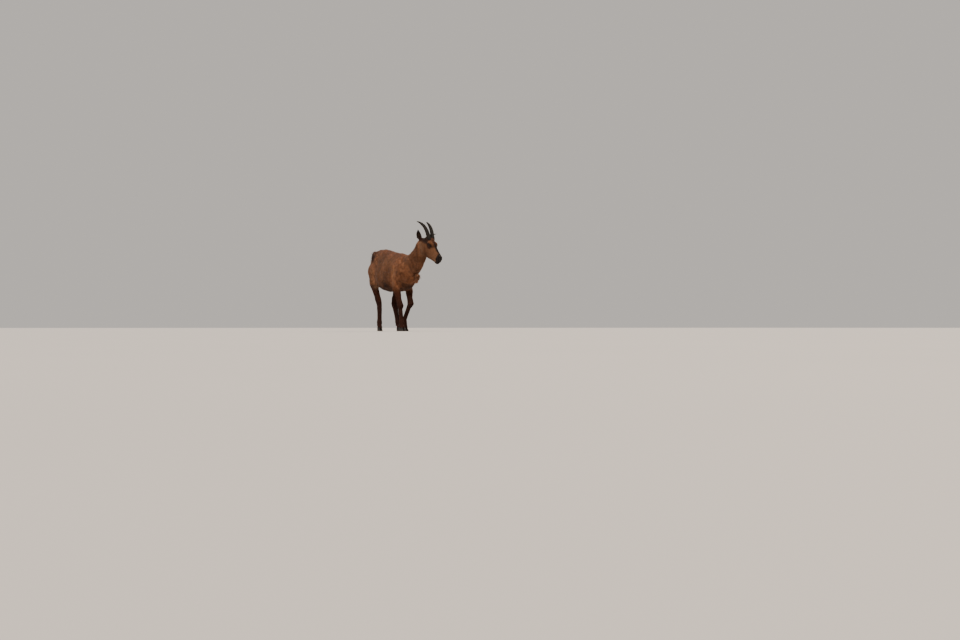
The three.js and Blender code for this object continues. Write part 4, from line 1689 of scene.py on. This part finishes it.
@dataclass
class Unwrap:
    """The skin's flat map, cut into charts by region and by the way the skin faces."""

    shell: Shell
    zones: Zones
    margin: float = 0.004
    start_scale: float = 1.6
    shrink: float = 0.97

    def charts(self) -> Array:
        """Chart number of every face.

        Returns:
            One number for each face, from its region, the way it faces and its side.
        """
        zones, faces = self.zones, self.shell.faces
        mixed = zones.tail + zones.wool
        rows = [zones.trunk, zones.neck, zones.head, zones.fore_leg, zones.hind_leg, mixed, zones.ear]
        region = np.stack(rows, 1)[faces].mean(1).argmax(1)
        flat = self.shell.flats()
        axis = np.abs(flat).argmax(1)
        facing = axis * 2 + (flat[np.arange(len(flat)), axis] > 0)
        left = self.shell.points[faces][:, :, 1].mean(1) > 0
        return (region * 6 + facing) * 2 + left

    def place(self) -> Array:
        """Lays the charts in rows on the unit square.

        Returns:
            The map place of every face corner.
        """
        chart = self.charts()
        corner = self.shell.points[self.shell.faces]
        keep = {0: (1, 2), 1: (0, 2), 2: (0, 1)}
        flat = np.zeros((len(chart), 3, 2))
        boxes = []
        for number in np.unique(chart):
            mine = chart == number
            at = corner[mine][:, :, keep[int(number) // 2 % 6 // 2]]
            low = at.reshape(-1, 2).min(0)
            flat[mine] = at - low
            boxes.append((number, *(at.reshape(-1, 2).max(0) - low)))
        boxes.sort(key=lambda row: -row[2])
        scale = self.start_scale
        while not (spots := self.rows(boxes, scale)):
            scale *= self.shrink
        for number, spot in spots.items():
            mine = chart == number
            flat[mine] = flat[mine] * scale + np.array(spot)
        return flat

    def rows(self, boxes: list, scale: float) -> dict:
        """Lays boxes in rows.

        Args:
            boxes: Number, width and height of every chart, the highest first.
            scale: The map's scale.

        Returns:
            Each chart's corner, or nothing if they don't fit.
        """
        x = y = self.margin
        tall = 0.0
        spots = {}
        for number, wide, high in boxes:
            if x + wide * scale + self.margin > 1.0:
                x = self.margin
                y += tall + self.margin
                tall = 0.0
            if x + wide * scale + self.margin > 1.0 or y + high * scale + self.margin > 1.0:
                return {}
            spots[number] = (x, y)
            x += wide * scale + self.margin
            tall = max(tall, high * scale)
        return spots


@dataclass
class Coat:
    """Tufts of hair as small closed blades, grown on the skin."""

    # faces of a blade over its two sides, its root, its middle and its tip
    BLADE: ClassVar[Array] = np.array([[0, 2, 1], [0, 1, 3], [0, 3, 4], [3, 1, 4], [0, 4, 2], [2, 4, 1]])

    skin: Skin
    shell: Shell
    seed: int = 5
    thin: float = 0.34
    sink: float = 0.0016
    patch: float = 0.003
    # darker blade roots are painted shade among the hair and lighter tips a painted highlight; one factor
    # for each blade point: two root corners, the sunk root, the middle and the tip
    shades: tuple = (0.66, 0.66, 0.60, 1.02, 1.26)
    # the skin under the tufts is darkened: painted shade under the coat
    skin_shade: float = 0.8
    lengths: tuple = (0.65, 1.3)
    widths: tuple = (0.7, 1.35)
    lifts: tuple = (0.55, 1.5)
    tones: tuple = (0.6, 1.5)
    tone_spread: float = 0.15
    shortest: float = 0.004
    stray: float = 0.16
    stray_length: float = 0.018
    stray_range: tuple = (0.35, 2.2)
    bend: float = 0.8
    middle_reach: float = 0.42
    middle_bend: float = 0.2
    tip_lift: float = 0.62
    split: float = -0.12
    trunk_tufts: int = 31000
    # piece, regions of the skin, number of tufts and slot
    others: tuple = (
        ("neck", ("neck",), 30000, Slot.COAT),
        ("head", ("head", "ear"), 32000, Slot.COAT),
        ("fore_legs", ("fore_leg",), 22000, Slot.DARK),
        ("hind_legs", ("hind_leg",), 22000, Slot.DARK),
        ("tail", ("tail",), 3000, Slot.DARK),
        ("wool", ("wool",), 5200, Slot.WOOL),
    )

    def __post_init__(self) -> None:
        """Works out what every point of the skin gives its tufts."""
        marks, points = self.skin.marks, self.shell.points
        self.at = Places(marks, points, self.shell.normals(), self.skin.zones(points))
        markings, lay = Markings(marks), Lay(self.skin)
        self.colour, self.bare = markings.colours(self.at), markings.bare(self.at)
        self.flow, self.length = lay.ways(self.at), lay.length(self.at)
        self.width, self.lift = lay.width(self.at), lay.lift(self.at)
        self.map = Unwrap(self.shell, self.at.zones).place()

    def patches(self) -> dict[str, tuple[Array, int, Slot]]:
        """Where every coat piece grows.

        Returns:
            Chosen faces, number of tufts and slot, by the piece's name.
        """
        faces = self.shell.faces
        names = np.array(["trunk", "neck", "head", "fore_leg", "hind_leg", "tail", "wool", "ear"])
        shares = [getattr(self.at.zones, name)[faces].mean(1) for name in names]
        region = names[np.stack(shares, 1).argmax(1)]
        x, y, _ = self.skin.marks.body(self.shell.points[faces].mean(1)).T
        made = {}
        for part, mine in (("shoulder", x > self.split), ("rump", x <= self.split)):
            for side in Side:
                chosen = (region == "trunk") & mine & ((y > 0) == (side is Side.LEFT))
                made[f"coat_{part}_{side.word}"] = (chosen, self.trunk_tufts, Slot.COAT)
        for part, regions, count, slot in self.others:
            made[f"coat_{part}"] = (np.isin(region, regions), count, slot)
        return made

    def grow(self, name: str, chosen: Array, count: int, material: Material) -> Object:
        """One coat piece.

        Args:
            name: Name of the piece.
            chosen: Which faces of the skin it grows on.
            count: Number of tufts.
            material: What it is dressed in.

        Returns:
            The piece, with colours and its flat map.
        """
        rng = np.random.default_rng(self.seed + sum(map(ord, name)))
        faces = np.flatnonzero(chosen)
        corners = self.shell.faces[faces]
        area = np.linalg.norm(self.shell.flats()[faces], axis=1) / 2
        area *= (1.0 - self.bare[corners].mean(1)) ** 2
        weight = np.cumsum(area / np.maximum(self.length[corners].mean(1), self.shortest))
        pick = faces[np.searchsorted(weight, rng.uniform(0.0, weight[-1], count))]
        inside = rng.dirichlet(np.ones(3), count)

        def at(values: Array) -> Array:
            """A point value blended over the face of each tuft."""
            corner = values[self.shell.faces[pick]]
            return (corner * inside.reshape(count, 3, *([1] * (values.ndim - 1)))).sum(1)

        root, normal = at(self.shell.points), unit(at(self.at.normals))
        length = at(self.length) * rng.uniform(*self.lengths, count)
        stray = self.stray * np.clip(length / self.stray_length, *self.stray_range)
        way = at(self.flow) + rng.normal(0.0, 1.0, (count, 3)) * stray[:, None]
        way = unit(way - (way * normal).sum(1, keepdims=True) * normal)
        side = np.cross(way, normal)
        width = at(self.width) * rng.uniform(*self.widths, count)
        lift = at(self.lift) * rng.uniform(*self.lifts, count)
        bend = rng.normal(0.0, self.bend, count) * stray * length

        def arm(angle: Array, reach: Array) -> Array:
            """A way out from the root, by its angle over the skin and its length."""
            return (way * np.cos(angle)[:, None] + normal * np.sin(angle)[:, None]) * reach[:, None]

        mid = root + arm(lift, length * self.middle_reach)
        mid += side * (bend * self.middle_bend)[:, None] + normal * (width * self.thin)[:, None]
        tip = root + arm(lift * self.tip_lift, length) + side * bend[:, None]
        half = side * (width / 2.0)[:, None]
        points = np.stack([root + half, root - half, root - normal * self.sink, mid, tip], 1)
        number = np.arange(count)[:, None, None] * 5
        shell = self.outward(Shell(points.reshape(-1, 3), (self.BLADE[None] + number).reshape(-1, 3)))
        made = piece_of(name, shell, material)
        tone = at(self.colour) * rng.normal(1.0, self.tone_spread, (count, 1)).clip(*self.tones)
        # each blade's colour is darkened at its root and lightened at its tip: painted shade and painted
        # highlight
        store(made, "coat_colour", (tone[:, None] * np.array(self.shades)[None, :, None]).reshape(-1, 3))
        spot = (self.map[pick] * inside[..., None]).sum(1)
        form = np.stack([[0.5, -0.5, 0.1, 0.0, 0.0], [-0.4, -0.4, -0.5, 0.0, 0.5]], 1)
        places = (spot[:, None] + form[None] * self.patch).reshape(-1, 2)
        fill(made.data.uv_layers.new(name=BAKE_MAP).data, "uv", places[shell.faces.ravel()])
        return made

    def outward(self, shell: Shell) -> Shell:
        """The blades with every face pointing outwards.

        Args:
            shell: All blades of a piece.

        Returns:
            The same shell.
        """
        centre = np.repeat(shell.points.reshape(-1, 5, 3).mean(1), len(self.BLADE), axis=0)
        arm = shell.points[shell.faces] - centre[:, None]
        volume = np.einsum("ij,ij->i", arm[:, 0], np.cross(arm[:, 1], arm[:, 2]))
        if np.median(volume.reshape(-1, len(self.BLADE)).sum(1)) < 0.0:
            shell.faces = shell.faces[:, ::-1]
        return shell

    def build(self, hair: Material, flat: Material) -> None:
        """Makes the skin's piece and every coat piece.

        Args:
            hair: Dress of the tufts.
            flat: Dress of the skin.
        """
        skin = piece_of("skin", self.shell, flat)
        # the skin's colour darkened: painted shade under the tufts
        store(skin, "coat_colour", self.colour * self.skin_shade)
        store(skin, "bare", self.bare)
        fill(skin.data.uv_layers.new(name=BAKE_MAP).data, "uv", self.map)
        ready(skin, Slot.COAT, *self.skin.replaced())
        for name, (chosen, count, slot) in self.patches().items():
            ready(self.grow(name, chosen, count, hair), slot)


def grown(name: str, data: bpy.types.ID, sizes: dict, shape: Callable, finish: Material) -> Object:
    """What a node tree makes of a curve or mesh, as a plain piece.

    Args:
        name: Name of the piece.
        data: What the tree starts from.
        sizes: The tree's inputs by name.
        shape: Adds the nodes, from the tree and its inputs, and gives the form.
        finish: What the piece is dressed in.

    Returns:
        A plain mesh piece with outward faces.
    """
    sizes = {**sizes, "finish": finish}
    group = bpy.data.node_groups.new(f"{name}_form", "GeometryNodeTree")
    kinds = {float: "Float", int: "Int", Material: "Material"}
    sockets = {"source": "Geometry"} | {label: kinds[type(value)] for label, value in sizes.items()}
    for label, kind in sockets.items():
        group.interface.new_socket(name=label, in_out="INPUT", socket_type=f"NodeSocket{kind}")
    group.interface.new_socket(name="form", in_out="OUTPUT", socket_type="NodeSocketGeometry")
    tree = Tree(group)
    outputs = tree.node("NodeGroupInput").outputs
    given = {socket.name: Num(tree, socket) for socket in outputs if socket.name}
    whole = tree.add("GeometryNodeRealizeInstances", {"Geometry": shape(tree, given)})
    dressed = tree.add("GeometryNodeSetMaterial", {"Geometry": whole, "Material": given["finish"]})
    tree.node("NodeGroupOutput", {"form": dressed})
    holder = linked("scratch", data)
    modifier = holder.modifiers.new("form", "NODES")
    modifier.node_group = group
    for item in group.interface.items_tree:
        if item.in_out == "INPUT" and item.name in sizes:
            modifier[item.identifier] = sizes[item.name]
    graph = bpy.context.evaluated_depsgraph_get()
    mesh = bpy.data.meshes.new_from_object(holder.evaluated_get(graph), depsgraph=graph)
    bpy.data.objects.remove(holder)
    build = bmesh.new()
    build.from_mesh(mesh)
    bmesh.ops.recalc_face_normals(build, faces=build.faces)
    build.to_mesh(mesh)
    build.free()
    mesh.name = name
    mesh.shade_smooth()
    mesh.materials.clear()
    mesh.materials.append(finish)
    return linked(name, mesh)


@dataclass
class Horn:
    """One ringed horn, drawn along its path by a node tree."""

    INPUTS: ClassVar[tuple] = ("base", "tip", "taper", "flat", "rings", "ring_depth", "around", "along")

    marks: Landmarks
    side: Side
    path: tuple = (
        (-0.001, -0.010, -0.015),
        (0.0, 0.0, 0.0),
        (-0.018, 0.003, 0.020),
        (-0.057, 0.009, 0.062),
        (-0.100, 0.018, 0.091),
        (-0.146, 0.031, 0.104),
        (-0.182, 0.045, 0.104),
    )
    base: float = 0.0200
    tip: float = 0.0030
    taper: float = 3.2
    flat: float = 0.82
    rings: float = 8.0
    ring_depth: float = 0.05
    around: int = 40
    along: int = 190

    def shape(self, tree: Tree, given: dict[str, Num]) -> Num:
        """Turns a path into a ringed horn.

        Args:
            tree: The tree that gets the nodes.
            given: Its inputs by name.

        Returns:
            The horn's form.
        """
        rod = tree.add(
            "GeometryNodeMeshCylinder",
            {"Vertices": given["around"], "Side Segments": given["along"], "Radius": 1.0, "Depth": 1.0},
            fill_type="TRIANGLE_FAN",
        )
        parts = tree.node("ShaderNodeSeparateXYZ", {0: tree.add("GeometryNodeInputPosition")})
        x, y, z = (Num(tree, socket) for socket in parts.outputs)
        t = z + 0.5
        sampled = {"Curves": given["source"], "Factor": t}
        on_path = tree.node("GeometryNodeSampleCurve", sampled, mode="FACTOR", use_all_curves=True)
        spot, ahead = (Num(tree, on_path.outputs[name]) for name in ("Position", "Tangent"))
        across = tree.vector("NORMALIZE", tree.vector("CROSS_PRODUCT", ahead, tuple(self.marks.axes[1])))
        other = tree.vector("CROSS_PRODUCT", ahead, across)
        wave = (t * given["rings"] * TURN).sine() + (t * given["rings"] * (3.5 * TURN)).sine() * 0.3
        radius = given["base"] - (given["base"] - given["tip"]) * t ** given["taper"]
        radius = radius * (1.0 + given["ring_depth"] * wave * (1.0 - t))
        front = tree.vector("SCALE", across, Scale=x * radius)
        wide = tree.vector("SCALE", other, Scale=y * radius * given["flat"])
        moved = tree.vector("ADD", tree.vector("ADD", front, wide), spot)
        named = {"Geometry": rod, "Name": "along", "Value": t}
        kept = tree.add("GeometryNodeStoreNamedAttribute", named, data_type="FLOAT", domain="POINT")
        return tree.add("GeometryNodeSetPosition", {"Geometry": kept, "Position": moved})

    def build(self, finish: Material) -> Object:
        """The horn as a plain mesh piece.

        Args:
            finish: What it is dressed in.

        Returns:
            The finished piece.
        """
        line = (np.array(self.marks.horn_at) + spline(self.path, 60)) * self.side.place(1.0, 1.0, 1.0)
        line = self.marks.from_head(line)
        curve = bpy.data.curves.new("horn_path", "CURVE")
        curve.dimensions = "3D"
        strand = curve.splines.new("POLY")
        strand.points.add(len(line) - 1)
        fill(strand.points, "co", np.hstack([line, np.ones((len(line), 1))]))
        sizes = {name: getattr(self, name) for name in self.INPUTS}
        return grown(f"horn_{self.side.word}_ringed", curve, sizes, self.shape, finish)


@dataclass
class Bristles:
    """Lashes and whiskers: stiff single hairs set at points by a node tree."""

    INPUTS: ClassVar[tuple] = ("length", "radius", "spread", "seed")

    marks: Landmarks
    length: float = 0.016
    radius: float = 0.00032
    spread: float = 0.35
    seed: int = 7
    lashes: int = 17
    whisker_rows: int = 4
    whiskers: int = 6

    def roots(self) -> tuple[Array, Array]:
        """Where the hairs stand and how they point.

        Returns:
            Places and ways in the frame, one row for each hair.
        """
        places, ways = [], []
        for side in Side:
            centre = side.place(*self.marks.eye)
            for step in np.linspace(-0.9, 0.9, self.lashes):
                arm = side.place(0.0130 * step, 0.0125, 0.0086 * (1.0 - step * step) + 0.0015)
                places.append(centre + unit(arm) * (self.marks.eye_radius + 0.0026))
                ways.append(unit(side.place(0.35 * step, 0.9, 0.15)))
            for row in range(self.whisker_rows):
                for step in range(self.whiskers):
                    out = 0.0275 - 0.0007 * step
                    places.append(side.place(0.250 + 0.006 * step, out, -0.006 - 0.0055 * row))
                    ways.append(unit(side.place(0.30, 0.9, -0.45)))
        return self.marks.from_head(places), np.array(ways) @ self.marks.axes

    def shape(self, tree: Tree, given: dict[str, Num]) -> Num:
        """Sets a thin cone on every point.

        Args:
            tree: The tree that gets the nodes.
            given: Its inputs by name.

        Returns:
            The hairs as instances.
        """
        sizes = {
            "Vertices": 5,
            "Side Segments": 3,
            "Radius Bottom": given["radius"],
            "Depth": given["length"],
        }
        cone = tree.add("GeometryNodeMeshCone", sizes, fill_type="TRIANGLE_FAN")
        aim = tree.add("GeometryNodeInputNamedAttribute", {"Name": "aim"}, data_type="FLOAT_VECTOR")
        limits = {"Min": (-0.5, -0.5, -0.5), "Max": (0.5, 0.5, 0.5), "Seed": given["seed"]}
        stray = tree.add("FunctionNodeRandomValue", limits, data_type="FLOAT_VECTOR")
        aim = tree.vector("ADD", aim, tree.vector("SCALE", stray, Scale=given["spread"]))
        turn = tree.add("FunctionNodeAlignRotationToVector", {"Vector": aim}, axis="Z")
        limits = {2: 0.55, 3: 1.0, "Seed": given["seed"]}
        size = tree.add("FunctionNodeRandomValue", limits, out=1, data_type="FLOAT")
        placed = {"Points": given["source"], "Instance": cone, "Rotation": turn, "Scale": size}
        return tree.add("GeometryNodeInstanceOnPoints", placed)

    def build(self, finish: Material) -> Object:
        """All lashes and whiskers as one piece.

        Args:
            finish: What they are dressed in.

        Returns:
            The finished piece.
        """
        places, ways = self.roots()
        mesh = bpy.data.meshes.new("bristle_roots")
        mesh.vertices.add(len(places))
        fill(mesh.vertices, "co", places)
        fill(mesh.attributes.new("aim", "FLOAT_VECTOR", "POINT").data, "vector", ways)
        sizes = {name: getattr(self, name) for name in self.INPUTS}
        made = grown("lashes_and_whiskers", mesh, sizes, self.shape, finish)
        store(made, "coat_colour", np.tile(Tone.LASH.linear(), (len(made.data.vertices), 1)))
        return made


@dataclass
class Claws:
    """The claws and dew claws of one foot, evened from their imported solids."""

    where: str
    side: Side
    voxel: float = 0.0013
    rounds: int = 5

    def nodes(self) -> list[str]:
        """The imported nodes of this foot."""
        kinds = [(kind, place) for kind in ("hoof", "dewclaw") for place in ("outer", "inner")]
        return [f"{kind}_{self.where}_{self.side.word}_{place}" for kind, place in kinds]

    def build(self, finish: Material) -> Object:
        """The foot's horn parts as one piece.

        Args:
            finish: What they are dressed in.

        Returns:
            The finished piece.
        """
        made = []
        for name in self.nodes():
            shell = Shell.of_node(name).remeshed(self.voxel).largest()
            flat = shell.points[:, 2] < self.voxel
            moved = shell.even(shell.points, self.rounds, 1.0, (0.5, -0.4))
            moved[flat, 2] = shell.points[flat, 2]
            moved[:, 2] = np.maximum(moved[:, 2], 0.0)
            made.append(Shell(moved, shell.faces))
        return piece_of(f"claws_{self.where}_{self.side.word}", Shell.joined(made), finish)


@dataclass
class Eye:
    """One eyeball with a bulged cornea, looking outwards and a little ahead."""

    marks: Landmarks
    side: Side
    bulge: float = 0.0009
    cornea: float = 0.0085

    def build(self) -> Object:
        """The eyeball in its own finish.

        Returns:
            The finished piece.
        """
        outward = unit(self.side.place(0.20, 1.0, 0.04)) @ self.marks.axes
        level = unit(np.array([outward[1], -outward[0], 0.0]) * self.side.value)
        centre = self.marks.middle(f"eye_{self.side.word}")
        ball = Shell.blob(np.zeros(3), self.marks.eye_radius)
        ahead = ball.points @ outward
        away = np.linalg.norm(ball.points - outward * ahead[:, None], axis=1)
        front = (ahead > 0.0) * ease(away, self.cornea, 0.0)
        ball.points = ball.points + outward * (front * self.bulge)[:, None] + centre
        axes = {"centre": tuple(centre), "outward": tuple(outward), "level": tuple(level)}
        finish = EyeFinish(f"wet_eye_{self.side.word}", 0.12, specular=0.12, coat=0.12, **axes)
        return piece_of(f"eyeball_{self.side.word}", ball, finish.material())


@dataclass(frozen=True)
class Lamp:
    """One soft lamp far away, with its angles in degrees."""

    name: str
    power: float
    spread: float
    azimuth: float
    elevation: float
    colour: tuple

    def build(self) -> None:
        """Sets up the lamp, aimed at the animal."""
        light = bpy.data.lights.new(self.name, "SUN")
        light.energy = self.power
        light.angle = math.radians(self.spread)
        light.color = self.colour
        a, e = math.radians(self.azimuth), math.radians(self.elevation)
        back = Vector((math.sin(a) * math.cos(e), -math.cos(a) * math.cos(e), math.sin(e)))
        linked(self.name, light).rotation_euler = (-back).to_track_quat("-Z", "Y").to_euler()


@dataclass
class Studio:
    """Floor, lamps and camera."""

    marks: Landmarks
    distance: float = 13.0
    azimuth: float = math.radians(62.0)
    height: float = 0.04
    lens: float = 50.0
    sensor: float = 36.0
    clip: tuple = (0.05, 400.0)
    frame_size: tuple = (960, 640)
    hoof_at: tuple = (403.1, 331.3)
    horizon: float = 327.2
    floor_half: float = 60.0
    air: tuple = (0.86, 0.80, 0.74, 1.0)
    air_strength: float = 0.68
    lamps: tuple = (
        Lamp("key_lamp", 3.5, 30.0, azimuth=38.0, elevation=44.0, colour=(1.0, 0.92, 0.83)),
        Lamp("rim_lamp", 1.7, 24.0, azimuth=215.0, elevation=34.0, colour=(1.0, 0.80, 0.60)),
    )

    def build(self) -> None:
        """Sets up everything that isn't the animal."""
        self.floor()
        for lamp in self.lamps:
            lamp.build()
        self.world()
        self.camera()

    def floor(self) -> None:
        """A wide pale floor."""
        corners = np.array([[-1, -1, 0], [1, -1, 0], [1, 1, 0], [-1, 1, 0]]) * self.floor_half
        shell = Shell(corners, np.array([[0, 1, 2], [0, 2, 3]]))
        piece_of("floor", shell, FloorFinish("pale_floor", 0.85).material())

    def world(self) -> None:
        """An even pale surround."""
        world = bpy.data.worlds.new("studio_air")
        world.use_nodes = True
        surround = world.node_tree.nodes["Background"]
        surround.inputs["Color"].default_value = self.air
        surround.inputs["Strength"].default_value = self.air_strength
        bpy.context.scene.world = world

    def camera(self) -> None:
        """The camera at the photograph's place, from the near fore foot."""
        foot, _ = self.marks.foot("front", Side.RIGHT)
        toward = Vector((math.sin(self.azimuth), -math.cos(self.azimuth), 0.0))
        right = Vector((math.cos(self.azimuth), math.sin(self.azimuth), 0.0))
        focal = self.lens / self.sensor * self.frame_size[0]
        swing = math.atan((self.frame_size[0] / 2.0 - self.hoof_at[0]) / focal)
        rise = math.atan((self.horizon - self.frame_size[1] / 2.0) / focal)
        ahead = -toward * math.cos(swing) + right * math.sin(swing)
        ahead = ahead * math.cos(rise) + Vector((0.0, 0.0, math.sin(rise)))
        data = bpy.data.cameras.new("camera")
        data.lens = self.lens
        data.sensor_width = self.sensor
        data.clip_start, data.clip_end = self.clip
        made = linked("camera", data)
        made.location = Vector((foot[0], foot[1], self.height)) + toward * self.distance
        made.rotation_mode = "QUATERNION"
        made.rotation_quaternion = ahead.to_track_quat("-Z", "Y")
        bpy.context.scene.camera = made


def main() -> None:
    """Builds the animal from the inside out, then the studio."""
    logging.basicConfig(level=logging.INFO, format="%(name)s %(message)s")
    marks = Landmarks()
    hair = HairFinish("tufted_coat", roughness=0.8, specular=0.12, sheen=0.05).material()
    flat = SkinFinish("short_coat_and_skin", roughness=0.8, specular=0.2).material()
    horn = HornFinish("ringed_horn", roughness=0.55, specular=0.15).material()
    claw = ClawFinish("claw_horn", roughness=0.5, specular=0.25).material()
    skin = Skin(marks)
    Coat(skin, skin.build()).build(hair, flat)
    for side in Side:
        ready(Horn(marks, side).build(horn), Slot.HORN, f"horn_{side.word}")
        ready(Eye(marks, side).build(), Slot.EYE, f"eye_{side.word}")
        for where in ("front", "hind"):
            foot = Claws(where, side)
            ready(foot.build(claw), Slot.HOOF, *foot.nodes())
    ready(Bristles(marks).build(hair), Slot.DARK)
    Studio(marks).build()


if __name__ == "__main__":
    main()
